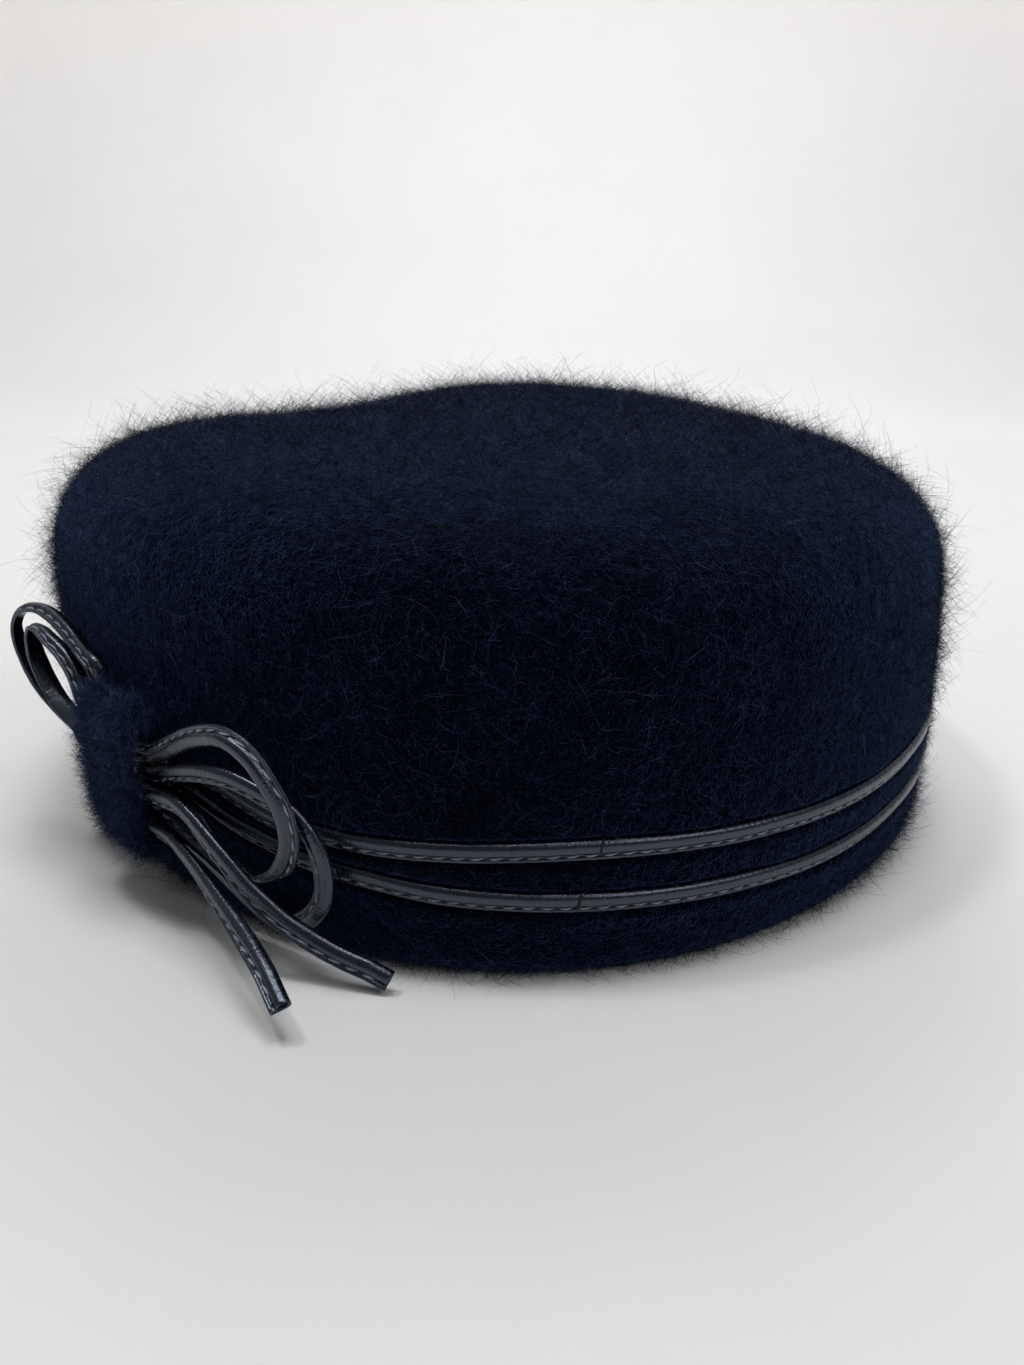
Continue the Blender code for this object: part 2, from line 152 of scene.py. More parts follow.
# Dark tacks that hold the bands to the felt. Columns: node, distance along the band from the bow's
# middle, from and to across the strap's width.
TACKS = (
    ("band_upper", 105.6 * MM, -0.05, 0.50),
    ("band_lower", 101.0 * MM, -0.30, 0.48),
)
TACK_RADIUS = 0.22 * MM
# The thread's middle stands off by this share of its radius, goes over the section above this level
# and drifts this far along at each point.
TACK_STAND = 0.4
TACK_LEVEL = 0.35
TACK_DRIFT = 0.10 * MM

# Felt knot
KNOT_ANGLE = -137.0
KNOT_LEVEL = 0.0290
KNOT_HALF_WIDTH = 0.0090
KNOT_HALF_HEIGHT = 0.0170
KNOT_DEPTH = 0.0085
KNOT_LEAN = 14.0
# The knot sits this far along from the middle of the bow.
KNOT_SHIFT = 0.0015
KNOT_WALL = 2.1 * MM
KNOT_ROWS = 64
KNOT_CORNERS = 14
# The strip of felt goes over the straps from this angle for this many degrees, and its curve is
# squared by this power.
KNOT_ARC = (-18.0, 216.0)
KNOT_SQUARE = 0.75
# Shares by which the knot is lower and shallower in the middle, its felt thinner at the side edges
KNOT_WAIST = 0.05
KNOT_DIP = 0.03
KNOT_THIN = 0.25
# The side edges round off by a share past a place, and curl past another.
KNOT_ROUNDING = (0.07, 0.86)
KNOT_CURL_START = 0.6
KNOT_CURL = 0.9 * MM
KNOT_EDGE_LIFT = 0.5 * MM
KNOT_SEAT = 0.4 * MM
KNOT_DEEPEST = -1.2 * MM
KNOT_LUMP = 0.25 * MM
KNOT_LUMP_SPREAD = 4.0 * MM
# The straps run this far into the knot from its side faces.
STRAP_TUCK = 6.0 * MM
ROOT_GAP = 0.0007

# Bands round the crown. Columns: degrees on from the knot, height as a share of KNOT_LEVEL.
UPPER_BAND = (
    (11.0, 1.12), (14.5, 1.10), (18.0, 1.04), (22.0, 0.97), (27.0, 0.94), (36.0, 0.92),
    (56.0, 0.95), (75.0, 0.91), (92.0, 0.89), (120.0, 0.93), (180.0, 0.95), (250.0, 0.95),
    (310.0, 0.98), (336.0, 1.06), (346.0, 1.12),
)
LOWER_BAND = (
    (10.0, 0.95), (16.0, 0.84), (22.0, 0.77), (27.0, 0.71), (34.0, 0.67), (42.0, 0.62),
    (57.0, 0.58), (75.0, 0.54), (90.0, 0.52), (120.0, 0.58), (180.0, 0.61), (250.0, 0.62),
    (310.0, 0.67), (336.0, 0.82), (346.0, 0.92),
)
UPPER_BAND_ROOTS = (1.15, 1.15)
LOWER_BAND_ROOTS = (0.98, 0.98)

# Bow. Columns: along from the bow's middle as a share of BOW_REACH, up from KNOT_LEVEL as a share
# of BOW_RISE, out from the crown as a share of BOW_STAND, turn of the strap's face in degrees,
# how far the face looks to the front of the bow: 0 straight out from the crown, 1 along BOW_LOOK.
# The last two are 0 where a row leaves them out.
BOW_REACH = 0.0360
BOW_RISE = 0.0230
BOW_STAND = 0.0100
# The bow's front looks this way: degrees round from +X and up.
BOW_LOOK = (-70.0, 22.0)
FRONT_LOOP = (
    (0.56, 0.46, 0.50), (0.77, 0.63, 0.64), (0.95, 0.75, 0.80), (1.10, 0.81, 0.94),
    (1.22, 0.77, 1.02), (1.33, 0.61, 1.04), (1.41, 0.35, 1.00), (1.42, 0.10, 0.92),
    (1.39, -0.10, 0.86, 5.0), (1.30, -0.32, 0.74, 40.0), (1.15, -0.44, 0.62, 70.0),
    (1.00, -0.41, 0.54, 75.0), (0.85, -0.28, 0.50, 60.0), (0.66, -0.14, 0.43, 10.0),
)
REAR_LOOP = (
    (0.50, 0.19, 0.42), (0.72, 0.30, 0.48), (0.90, 0.36, 0.54), (1.04, 0.37, 0.57),
    (1.18, 0.32, 0.58), (1.36, 0.21, 0.58), (1.46, 0.06, 0.58), (1.52, -0.15, 0.58),
    (1.53, -0.38, 0.58), (1.49, -0.58, 0.56), (1.39, -0.77, 0.50, 5.0), (1.24, -0.91, 0.42, 10.0),
    (1.07, -0.92, 0.38, 10.0), (0.92, -0.80, 0.37, 5.0), (0.62, -0.52, 0.37),
)
BACK_LOOP_OUTER = (
    (-0.15, 0.86, 0.26, -20.0, 0.80), (-0.26, 0.94, 0.27, -35.0, 1.00),
    (-0.40, 1.00, 0.27, -40.0, 1.00), (-0.52, 1.07, 0.32, -42.0, 1.00),
    (-0.65, 1.13, 0.43, -48.0, 1.00), (-0.77, 1.16, 0.62, -62.0, 1.00),
    (-0.86, 1.14, 0.85, -80.0, 1.00), (-0.92, 1.07, 1.03, -100.0, 1.00),
    (-0.94, 0.96, 1.14, -115.0, 1.00), (-0.94, 0.80, 1.13, -128.0, 1.00),
    (-0.90, 0.62, 1.04, -138.0, 1.00), (-0.80, 0.44, 0.90, -148.0, 1.00),
    (-0.66, 0.27, 0.69, -160.0, 1.00), (-0.48, 0.17, 0.53, -172.0, 1.00),
)
BACK_LOOP_INNER = (
    (-0.25, 0.55, 0.50, -15.0, 0.80), (-0.31, 0.70, 0.48, -32.0, 1.00),
    (-0.37, 0.81, 0.50, -38.0, 1.00), (-0.44, 0.91, 0.56, -42.0, 1.00),
    (-0.53, 0.99, 0.66, -48.0, 1.00), (-0.62, 1.04, 0.74, -65.0, 1.00),
    (-0.70, 1.04, 0.84, -90.0, 1.00), (-0.75, 0.96, 0.93, -120.0, 1.00),
    (-0.77, 0.82, 0.91, -145.0, 1.00), (-0.75, 0.68, 0.87, -158.0, 1.00),
    (-0.69, 0.54, 0.81, -166.0, 1.00), (-0.60, 0.40, 0.75, -172.0, 1.00),
    (-0.49, 0.30, 0.67, -176.0, 1.00), (-0.38, 0.24, 0.61, -180.0, 1.00),
)
FRONT_TAIL = (
    (0.42, -0.42, 0.62), (0.58, -0.47, 0.72, 0.0, 0.15), (0.76, -0.53, 0.90, 0.0, 0.30),
    (1.02, -0.61, 1.28, 0.0, 0.60), (1.24, -0.68, 1.68, 0.0, 0.85), (1.42, -0.75, 2.12, 0.0, 1.00),
    (1.57, -0.86, 2.60, 0.0, 1.00),
)
LONG_TAIL = (
    (0.57, 0.00, 0.68), (0.72, -0.03, 0.77), (0.83, -0.10, 0.86, 0.0, 0.10),
    (1.01, -0.28, 0.98, 0.0, 0.20), (1.12, -0.42, 1.02, 0.0, 0.40), (1.23, -0.56, 1.00, 0.0, 0.60),
    (1.32, -0.69, 0.94, 0.0, 0.80), (1.44, -0.82, 0.86, 0.0, 0.90), (1.62, -0.95, 0.82, 0.0, 0.90),
    (1.87, -1.07, 0.80, 0.0, 0.90),
)
# Columns: node, route, side of the knot, rise and stand of the first end, rise and stand of the
# last end or None where the strap ends free, edge of the strap that carries the stitched lip.
BOW_STRAPS = (
    ("loop_front", FRONT_LOOP, 1.0, (0.29, 0.37), (-0.12, 0.37), -1.0),
    ("loop_rear", REAR_LOOP, 1.0, (0.08, 0.37), (-0.33, 0.37), 1.0),
    ("loop_back_outer", BACK_LOOP_OUTER, -1.0, (0.58, 0.24), (0.04, 0.40), -1.0),
    ("loop_back_inner", BACK_LOOP_INNER, -1.0, (0.30, 0.51), (0.13, 0.67), -1.0),
    ("tail_front", FRONT_TAIL, 1.0, (-0.40, 0.61), None, 1.0),
    ("tail_long", LONG_TAIL, 1.0, (-0.06, 0.61), None, 1.0),
)

# Nap. Columns: name, fibres, pieces they are shared out to, length, spread of length, width at the
# root, lift from the felt in degrees, spread of lift, curl for each step in degrees, steps, and how
# rare the pale fibres are.
NAP_LAYERS = (
    ("nap_down", 170000, 1, 2.2 * MM, 0.35, 0.110 * MM, 38.0, 18.0, 0.0, 1, 1.45),
    ("nap_short", 58000, 1, 3.6 * MM, 0.35, 0.105 * MM, 34.0, 16.0, 40.0, 2, 1.35),
    ("nap_long", 60000, 2, 5.8 * MM, 0.38, 0.075 * MM, 42.0, 18.0, 36.0, 3, 0.82),
    ("nap_stray", 7000, 1, 10.5 * MM, 0.30, 0.060 * MM, 48.0, 18.0, 26.0, 6, 0.60),
)
# How much of its lift a fibre loses by its tip, its turns' own spread, its width at the tip
NAP_DROOP = 0.55
NAP_WANDER = 0.7
NAP_TAPER = 0.45
NAP_SINK = 0.35 * MM
NAP_LIFTS = (4.0, 85.0)
# Fibres keep between these heights.
NAP_FLOOR = 0.15 * MM
NAP_TOP = 99.0 * MM
RIM_CLEAR = 0.3 * MM
# Fibres start this far from a strap, and reach a share of the room to it and this much more.
STRAP_CLEAR = 0.9 * MM
ROOM_SHARE = 0.9
ROOM_MORE = 1.6 * MM
KNOT_CLEAR = 0.3 * MM
# Painted light: the knot's fibres take their tones from this place up on the nap's ramp, so they are
# painted paler than the crown's.
KNOT_NAP_PAINTED_LIGHT = 0.60
KNOT_NAP_SHARE = 0.10
KNOT_NAP_LENGTH = 6.0 * MM
NAP_SEED = 31

# Colours of the felt, the nap and the leather. Columns: place on the ramp, colour.
FELT_COLOURS = (
    (0.14, (0.0001, 0.0002, 0.0009)),
    (0.30, (0.0004, 0.0007, 0.0029)),
    (0.50, (0.0018, 0.0033, 0.0112)),
    (0.80, (0.0095, 0.0160, 0.0400)),
)
NAP_COLOURS = (
    (0.10, (0.0001, 0.0002, 0.0012)),
    (0.55, (0.0007, 0.0012, 0.0053)),
    (0.90, (0.0056, 0.0100, 0.0305)),
    (1.12, (0.0240, 0.0410, 0.1000)),
    (1.33, (0.1250, 0.1650, 0.2550)),
)
LEATHER_COLOURS = (
    (0.30, (0.0010, 0.0015, 0.0037)),
    (0.55, (0.0030, 0.0042, 0.0090)),
    (0.78, (0.0095, 0.0125, 0.0215)),
)
# Colour of the lip's paler edge
PALE_LIP_COLOUR = (0.030, 0.036, 0.048)
# Painted shade: the colour of the holes where the thread goes into the leather.
HOLE_SHADE_COLOUR = (0.0008, 0.0009, 0.0014)
CARD_COLOURS = ((0.3, (0.710, 0.708, 0.702)), (0.7, (0.736, 0.734, 0.728)))
# A fibre's tip is painted paler than its root by this much on the nap's ramp, as painted light on the
# tips.
NAP_TIP_PAINTED_LIGHT = 0.35
# The knot's felt is this much brighter than the crown's: painted light, standing in for the light that
# falls on the knot.
KNOT_PAINTED_LIGHT = 4.6
LEATHER_ROUGHNESS = (0.12, 0.36)
# Fibres drawn on the felt. Columns: scale of the curls, width of the lines, share of the brightness.
FELT_LINES = ((240.0, 0.020, 0.45), (410.0, 0.026, 0.40), (690.0, 0.036, 0.35))
FELT_LINE_SHIFT = (0.37, 0.11, 0.53)
# Half size in mm of the painted shade in the holes between the stitches, along and across, and how its
# edge fades
HOLE_SIZE = (0.55, 0.32)
HOLE_FADE = (0.7, 1.4)
# The lip's paler edge fades between these distances in mm.
PALE_LIP_FADE = (0.35, 0.75)

# Pale floor that sweeps up into the background: where it starts and ends, and the sweep's radius
FLOOR_FRONT = -5.0
FLOOR_BACK = 0.55
FLOOR_HALF_WIDTH = 4.0
SWEEP_RADIUS = 0.35
SWEEP_STEPS = 12
WALL_HEIGHT = 1.8
# Painted light: brightness that the background glows with by itself, and the heights between which it
# comes in
WALL_GLOW = 0.21
GLOW_HEIGHTS = (0.02, 0.30)

# Brightness of the room. Columns: axis, where it starts to rise, brightness before and after.
ROOM = (("Y", -0.8, 0.22, 0.56), ("Z", -0.1, 0.42, 0.70))
ROOM_END = 0.9
# Columns: name, place, width, power, colour.
LIGHTS = (
    ("light_left", (-0.52, 0.02, 1.75), 0.20, 7.0, (1.0, 0.99, 0.975)),
    ("light_right", (1.15, -0.95, 1.45), 0.80, 8.0, (0.98, 0.99, 1.0)),
    ("light_ceiling", (0.14, -0.10, 1.75), 0.60, 11.5, (0.97, 0.985, 1.0)),
    ("light_back", (0.05, 0.78, 0.75), 0.50, 3.4, (0.95, 0.975, 1.0)),
)

# The photograph's viewpoint, found from the outline of the crown and the straps
CAMERA_PLACE = (0.00274, -0.28787, 0.13415)
CAMERA_DOWN = 21.569
CAMERA_LENS = 31.11
CAMERA_SENSOR = 36.0


def smooth_step(value):
    share = min(max(value, 0.0), 1.0)
    return share * share * (3.0 - 2.0 * share)


def wave_sum(waves, angle):
    return sum(depth * math.cos(count * (angle - math.radians(peak))) for count, depth, peak in waves)


def outline_radius(level):
    heights = [row[0] for row in CROWN_OUTLINE]
    radii = [row[1] for row in CROWN_OUTLINE]
    return float(np.interp(level, heights, radii))


def plan_scale(angle, level):
    """Radius factor and sideways shift of the plan at a height share."""
    blend = smooth_step(level / TOP_PLAN_LEVEL)
    waves = (1.0 - blend) * wave_sum(RIM_WAVES, angle) + blend * wave_sum(TOP_WAVES, angle)
    shift = Vector((TOP_SHIFT[0], TOP_SHIFT[1], 0.0)) * CROWN_RADIUS * blend
    return 1.0 + waves, shift


def shoulder_drop(angle):
    """Height change at the edge of the top, as a share of CROWN_HEIGHT."""
    rise, direction = TOP_SLOPE
    change = rise * math.cos(angle - math.radians(direction))
    for dent_angle, half_width, depth in SHOULDER_DENTS:
        turn = math.remainder(angle - math.radians(dent_angle), 2.0 * math.pi)
        change -= depth * math.exp(-((turn / math.radians(half_width)) ** 2))
    return change


def slump(point):
    """Carry a point of the evenly turned crown to the soft, leaning form."""
    radius = math.hypot(point.x, point.y)
    angle = math.atan2(point.y, point.x)
    level = max(point.z / CROWN_HEIGHT, 0.0)
    scale, shift = plan_scale(angle, level)
    reach = radius / CROWN_RADIUS
    drop = CROWN_HEIGHT * level**3 * reach * reach * shoulder_drop(angle)
    radius *= scale
    return Vector((radius * math.cos(angle), radius * math.sin(angle), point.z + drop)) + shift


def crown_side(angle, height):
    """Point on the outside of the crown's side."""
    level = height / CROWN_HEIGHT
    scale, shift = plan_scale(angle, level)
    radius = CROWN_RADIUS * outline_radius(level) * scale
    return Vector((radius * math.cos(angle), radius * math.sin(angle), height)) + shift


def side_normal(angle, height):
    """Outward direction of the crown's side, over the width of a strap."""
    reach = 0.5 * STRAP_WIDTH
    turn = reach / CROWN_RADIUS
    round_way = crown_side(angle + turn, height) - crown_side(angle - turn, height)
    up_way = crown_side(angle, height + reach) - crown_side(angle, height - reach)
    return round_way.cross(up_way).normalized()


def beside_knot(along, height, out):
    """Point at a distance round the crown from the bow's middle, at a height, out from the side."""
    angle = math.radians(KNOT_ANGLE) + along / CROWN_RADIUS
    outward = side_normal(angle, height)
    return crown_side(angle, height) + outward * out, outward


def smooth_rows(rows, count=None, step=None):
    """Even stations on a smooth curve through the rows of a table."""
    table = np.array(rows, dtype=float)
    padded = np.vstack((2.0 * table[0] - table[1], table, 2.0 * table[-1] - table[-2]))
    fine = []
    for index in range(1, len(padded) - 2):
        p0, p1, p2, p3 = padded[index - 1 : index + 3]
        bend = 2.0 * p0 - 5.0 * p1 + 4.0 * p2 - p3
        twist = 3.0 * p1 - p0 - 3.0 * p2 + p3
        for share in np.linspace(0.0, 1.0, CURVE_STEPS, endpoint=False):
            fine.append(0.5 * (2.0 * p1 + (p2 - p0) * share + bend * share**2 + twist * share**3))
    fine.append(padded[-2])
    fine = np.array(fine)
    travel = travelled(fine[:, :3])
    if count is None:
        count = max(int(travel[-1] / step), 2)
    wanted = np.linspace(0.0, travel[-1], count)
    return np.stack([np.interp(wanted, travel, column) for column in fine.T], axis=1)


def travelled(points):
    """Distance from the first of a row of points to each of them, along the row."""
    steps = np.linalg.norm(np.diff(points, axis=0), axis=1)
    return np.concatenate(([0.0], np.cumsum(steps)))


def lumps(place, spread):
    """Soft unevenness at a place, with a spread."""
    return noise.fractal(place / spread, 0.8, 2.0, 3)


def add_object(name, data):
    item = bpy.data.objects.new(name, data)
    bpy.context.scene.collection.objects.link(item)
    return item


def smooth_mesh(name, form):
    """Smoothly shaded mesh made from a form, which is used up."""
    mesh = bpy.data.meshes.new(name)
    form.to_mesh(mesh)
    form.free()
    for face in mesh.polygons:
        face.use_smooth = True
    return mesh


def show_piece(name, mesh, material, stands_for=()):
    """Show a mesh as a piece that rides with the hat."""
    mesh.materials.append(material)
    piece = add_object(name, mesh)
    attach(piece, "root")
    for node in stands_for:
        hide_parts(node)
    return piece


def finish_piece(name, form, material, stands_for=()):
    """Show a form as a smoothly shaded piece."""
    return show_piece(name, smooth_mesh(name, form), material, stands_for)


def lofted_form(places, marks):
    """Grid carried to rows of places, with marks as a UV map, joined round and filled at its ends."""
    rows, points = places.shape[:2]
    form = bmesh.new()
    bmesh.ops.create_grid(form, x_segments=points - 1, y_segments=rows - 1, size=1.0)
    slots = {}
    for vertex in form.verts:
        column = round((vertex.co.x + 1.0) * 0.5 * (points - 1))
        row = round((vertex.co.y + 1.0) * 0.5 * (rows - 1))
        slots[vertex] = (row, column)
    layer = form.loops.layers.uv.new("marks")
    for face in form.faces:
        for loop in face.loops:
            loop[layer].uv = marks[slots[loop.vert]]
    for vertex, place in slots.items():
        vertex.co = places[place]
    bmesh.ops.remove_doubles(form, verts=form.verts, dist=0.001 * MM)
    bmesh.ops.recalc_face_normals(form, faces=form.faces)
    bmesh.ops.holes_fill(form, edges=form.edges, sides=0)
    bmesh.ops.recalc_face_normals(form, faces=form.faces)
    return form


# Materials


def join(tree, node, values):
    """Give a node's inputs their values: an output of another node is linked, the rest is set."""
    for socket, value in values.items():
        if isinstance(value, bpy.types.NodeSocket):
            tree.links.new(value, node.inputs[socket])
        else:
            node.inputs[socket].default_value = value


def new_node(tree, kind, values, **settings):
    """Outputs of a new node with its settings and inputs."""
    node = tree.nodes.new("ShaderNode" + kind)
    for setting, value in settings.items():
        setattr(node, setting, value)
    join(tree, node, values)
    return node.outputs


def new_material(name, colour, roughness):
    material = bpy.data.materials.new(name)
    material.use_nodes = True
    tree = material.node_tree
    shader = tree.nodes["Principled BSDF"]
    join(tree, shader, {"Base Color": (*colour, 1.0), "Roughness": roughness})
    return material, tree, shader


def own_marks(tree):
    """The marks that a piece carries as its UV map."""
    return new_node(tree, "UVMap", {}, uv_map="marks")["UV"]


def own_places(tree):
    """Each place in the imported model's frame."""
    return new_node(tree, "TexCoord", {})["Object"]


def split_axes(tree, source):
    return new_node(tree, "SeparateXYZ", {"Vector": source})


def math_node(tree, operation, first, second=0.0, third=0.0):
    return new_node(tree, "Math", {0: first, 1: second, 2: third}, operation=operation)["Value"]


def range_node(tree, source, start, end, low=0.0, high=1.0, kind="LINEAR"):
    """A value carried from one range to another and held at its ends."""
    values = {"Value": source, "From Min": start, "From Max": end, "To Min": low, "To Max": high}
    return new_node(tree, "MapRange", values, interpolation_type=kind)["Result"]


def noise_node(tree, source, scale, detail=4.0, roughness=0.6, distortion=0.0):
    values = {"Scale": scale, "Detail": detail, "Roughness": roughness, "Distortion": distortion}
    return new_node(tree, "TexNoise", {"Vector": source, **values})["Fac"]


def stretched(tree, source, factors):
    """Coordinates scaled by a factor for each direction."""
    return new_node(tree, "Mapping", {"Vector": source, "Scale": factors})["Vector"]


def colour_ramp(tree, source, stops):
    ramp = tree.nodes.new("ShaderNodeValToRGB")
    elements = ramp.color_ramp.elements
    while len(elements) < len(stops):
        elements.new(0.5)
    for element, (place, colour) in zip(elements, stops):
        element.position = place
        element.color = (*colour, 1.0)
    join(tree, ramp, {"Fac": source})
    return ramp.outputs["Color"]


def tinted(tree, mask, source, colour):
    """A colour that turns to another one where a mask says."""
    values = {"Factor": mask, "A": source, "B": (*colour, 1.0)}
    return new_node(tree, "Mix", values, data_type="RGBA")["Result"]


def bumps(tree, heights):
    """Chain of bumps. Columns: height source, strength, distance."""
    before = {}
    for source, strength, distance in heights:
        values = {"Height": source, "Strength": strength, "Distance": distance, **before}
        before = {"Normal": new_node(tree, "Bump", values)["Normal"]}
    return before


def fibre_lines(tree, source, scale, width):
    """Thin curling lines: the level lines of a smooth noise."""
    texture = noise_node(tree, source, scale, 2.0, 0.55, 0.6)
    ridge = math_node(tree, "ABSOLUTE", math_node(tree, "SUBTRACT", texture, 0.5))
    return range_node(tree, ridge, 0.0, width, 1.0, 0.0)


def felt_material(name, brightness):
    """Matted felt with tufts, thin pale fibres and a blue bloom."""
    material, tree, shader = new_material(name, (0.004, 0.006, 0.016), 0.95)
    place = own_places(tree)
    patches = noise_node(tree, place, 55.0, 5.0)
    tufts = noise_node(tree, place, 320.0, 4.0, 0.65)
    total = noise_node(tree, place, 900.0, 5.0, 0.7)
    for layer, (scale, width, share) in enumerate(FELT_LINES):
        shift = [step * layer for step in FELT_LINE_SHIFT]
        shifted = new_node(tree, "VectorMath", {0: place, 1: shift}, operation="ADD")["Vector"]
        lines = fibre_lines(tree, shifted, scale, width)
        total = math_node(tree, "MULTIPLY_ADD", lines, share, total)
    mix = math_node(tree, "MULTIPLY", patches, total)
    # A brightness above 1 paints light into the felt, as on the knot's copy.
    stops = [(stop, [value * brightness for value in colour]) for stop, colour in FELT_COLOURS]
    look = {
        "Base Color": colour_ramp(tree, mix, stops),
        "Sheen Weight": 0.53,
        "Sheen Roughness": 0.34,
        "Sheen Tint": (0.15, 0.25, 0.62, 1.0),
        "Specular IOR Level": 0.03,
    }
    look.update(bumps(tree, ((tufts, 1.0, 1.2 * MM), (total, 0.8, 0.3 * MM))))
    join(tree, shader, look)
    return material


def nap_material():
    """Nap coloured by each fibre's own tone, and painted paler towards its tip as painted light."""
    material, tree, shader = new_material("navy_nap", (0.008, 0.012, 0.028), 0.6)
    marks = split_axes(tree, own_marks(tree))
    # Painted light: the place along the fibre adds to its tone, so the tip is paler.
    blend = math_node(tree, "MULTIPLY_ADD", marks["Y"], NAP_TIP_PAINTED_LIGHT, marks["X"])
    spread = math_node(tree, "DIVIDE", blend, 1.0 + NAP_TIP_PAINTED_LIGHT)
    stops = [(stop / (1.0 + NAP_TIP_PAINTED_LIGHT), colour) for stop, colour in NAP_COLOURS]
    look = {
        "Base Color": colour_ramp(tree, spread, stops),
        "Specular IOR Level": 0.16,
        "Specular Tint": (0.22, 0.38, 0.90, 1.0),
    }
    join(tree, shader, look)
    return material


def crease_marks(tree, source):
    """Masks of the painted shade in the holes between the stitches and of the strap's paler lip edge.
    """
    marks = split_axes(tree, source)
    gap = (STITCH_START + 0.5 * (STITCH_LENGTH + STITCH_PITCH)) / MM
    point = [row[0] for row in STRAP_SECTION].index(CREASE_PLACE)
    crease = float(section_girth()[point]) / MM
    along = math_node(tree, "SUBTRACT", marks["X"], gap)
    along = math_node(tree, "PINGPONG", along, 0.5 * (STITCH_PITCH / MM))
    along = math_node(tree, "DIVIDE", along, HOLE_SIZE[0])
    beside = math_node(tree, "ABSOLUTE", math_node(tree, "SUBTRACT", marks["Y"], crease))
    beside = math_node(tree, "DIVIDE", beside, HOLE_SIZE[1])
    hole_shade_mask = range_node(tree, math_node(tree, "MAXIMUM", along, beside), *HOLE_FADE, 1.0, 0.0)
    return hole_shade_mask, range_node(tree, marks["Y"], *PALE_LIP_FADE, 1.0, 0.0)


def leather_material():
    """Polished dark leather, creased across, with painted shade in the holes of the stitches and paler
    at its lip edge.
    """
    material, tree, shader = new_material("charcoal_leather", (0.020, 0.023, 0.033), 0.42)
    marks = own_marks(tree)
    wear = noise_node(tree, stretched(tree, marks, (0.16, 0.5, 1.0)), 1.0, 5.0)
    creases = noise_node(tree, stretched(tree, marks, (1.7, 0.30, 1.0)), 1.0, 3.0, 0.50)
    grain = noise_node(tree, stretched(tree, marks, (4.5, 4.5, 1.0)), 1.0, 2.0, 0.5)
    hole_shade, edge = crease_marks(tree, marks)
    colour = tinted(tree, edge, colour_ramp(tree, wear, LEATHER_COLOURS), PALE_LIP_COLOUR)
    look = {
        # Painted shade darkens the holes of the stitches.
        "Base Color": tinted(tree, hole_shade, colour, HOLE_SHADE_COLOUR),
        "Roughness": range_node(tree, creases, 0.0, 1.0, *LEATHER_ROUGHNESS),
        "Specular IOR Level": 1.0,
        "Specular Tint": (0.72, 0.84, 1.0, 1.0),
    }
    look.update(bumps(tree, ((creases, 0.70, 0.2 * MM), (grain, 0.35, 0.1 * MM))))
    join(tree, shader, look)
    return material


def thread_material(name, colour):
    """Thread with its twist drawn as darker slanting lines: painted shade in the grooves of the twist.
    """
    material, tree, shader = new_material(name, colour, 0.75)
    values = {"Vector": own_marks(tree), "Scale": 1.4}
    lines = new_node(tree, "TexWave", values, bands_direction="DIAGONAL")["Fac"]
    # Painted shade: the grooves of the twist are painted darker.
    stops = ((0.2, [value * 0.45 for value in colour]), (0.8, colour))
    look = {"Base Color": colour_ramp(tree, lines, stops)}
    look.update(bumps(tree, ((lines, 0.5, 0.1 * MM),)))
    join(tree, shader, look)
    return material


def card_material():
    """Pale, faintly mottled card that glows a little by itself where it rises: painted light."""
    material, tree, shader = new_material("pale_card", (0.72, 0.72, 0.715), 0.55)
    place = own_places(tree)
    height = split_axes(tree, place)["Z"]
    look = {
        "Base Color": colour_ramp(tree, noise_node(tree, place, 9.0), CARD_COLOURS),
        "Specular IOR Level": 0.25,
        # Painted light: the card glows, more where it rises.
        "Emission Strength": range_node(tree, height, *GLOW_HEIGHTS, 0.0, WALL_GLOW),
        "Emission Color": (1.0, 0.88, 0.82, 1.0),
    }
    join(tree, shader, look)
    return material


# Felt crown


def offset_outline(points, distance):
    """Outline moved inwards by a wall's thickness; the rim's end stays level."""
    moved = []
    last = len(points) - 1
    for index, (radius, height) in enumerate(points):
        before = points[max(index - 1, 0)]
        after = points[min(index + 1, last)]
        along = Vector((after[0] - before[0], after[1] - before[1])).normalized()
        moved.append((radius - along.y * distance, height + along.x * distance))
    moved[0] = (points[0][0] - distance, points[0][1])
    return moved


def crown_rows():
    """Rows of the crown's outline, closer together where the bands lie."""
    rows = smooth_rows(CROWN_OUTLINE, CROWN_ROWS)
    low, high = BAND_ZONE
    close = np.arange(low, high, BAND_ZONE_STEP / CROWN_HEIGHT)
    side = rows[: np.argmax(rows[:, 0])]
    shares = np.interp(close, side[:, 0], side[:, 1])
    below = rows[rows[:, 0] < low]
    above = rows[rows[:, 0] > high]
    return np.vstack((below, np.stack((close, shares), axis=1), above))


def band_bed(place, bands):
    """How far the felt beside a band sinks or rolls up at a place on the crown."""
    angle = math.atan2(place.y, place.x) - math.radians(KNOT_ANGLE)
    along = CROWN_RADIUS * (angle % (2.0 * math.pi))
    change = 0.0
    for stations in bands:
        height = KNOT_LEVEL + float(np.interp(along, stations[:, 0], stations[:, 1]))
        apart = abs(place.z - height)
        bed = 1.0 - smooth_step((apart - BED_HALF_WIDTH) / BED_EDGE)
        roll = math.exp(-(((apart - ROLL_MIDDLE) / ROLL_SPREAD) ** 2))
        change += BED_ROLL * roll * (1.0 - bed) - BED_DEPTH * bed
    return max(change, -BED_DEPTH)


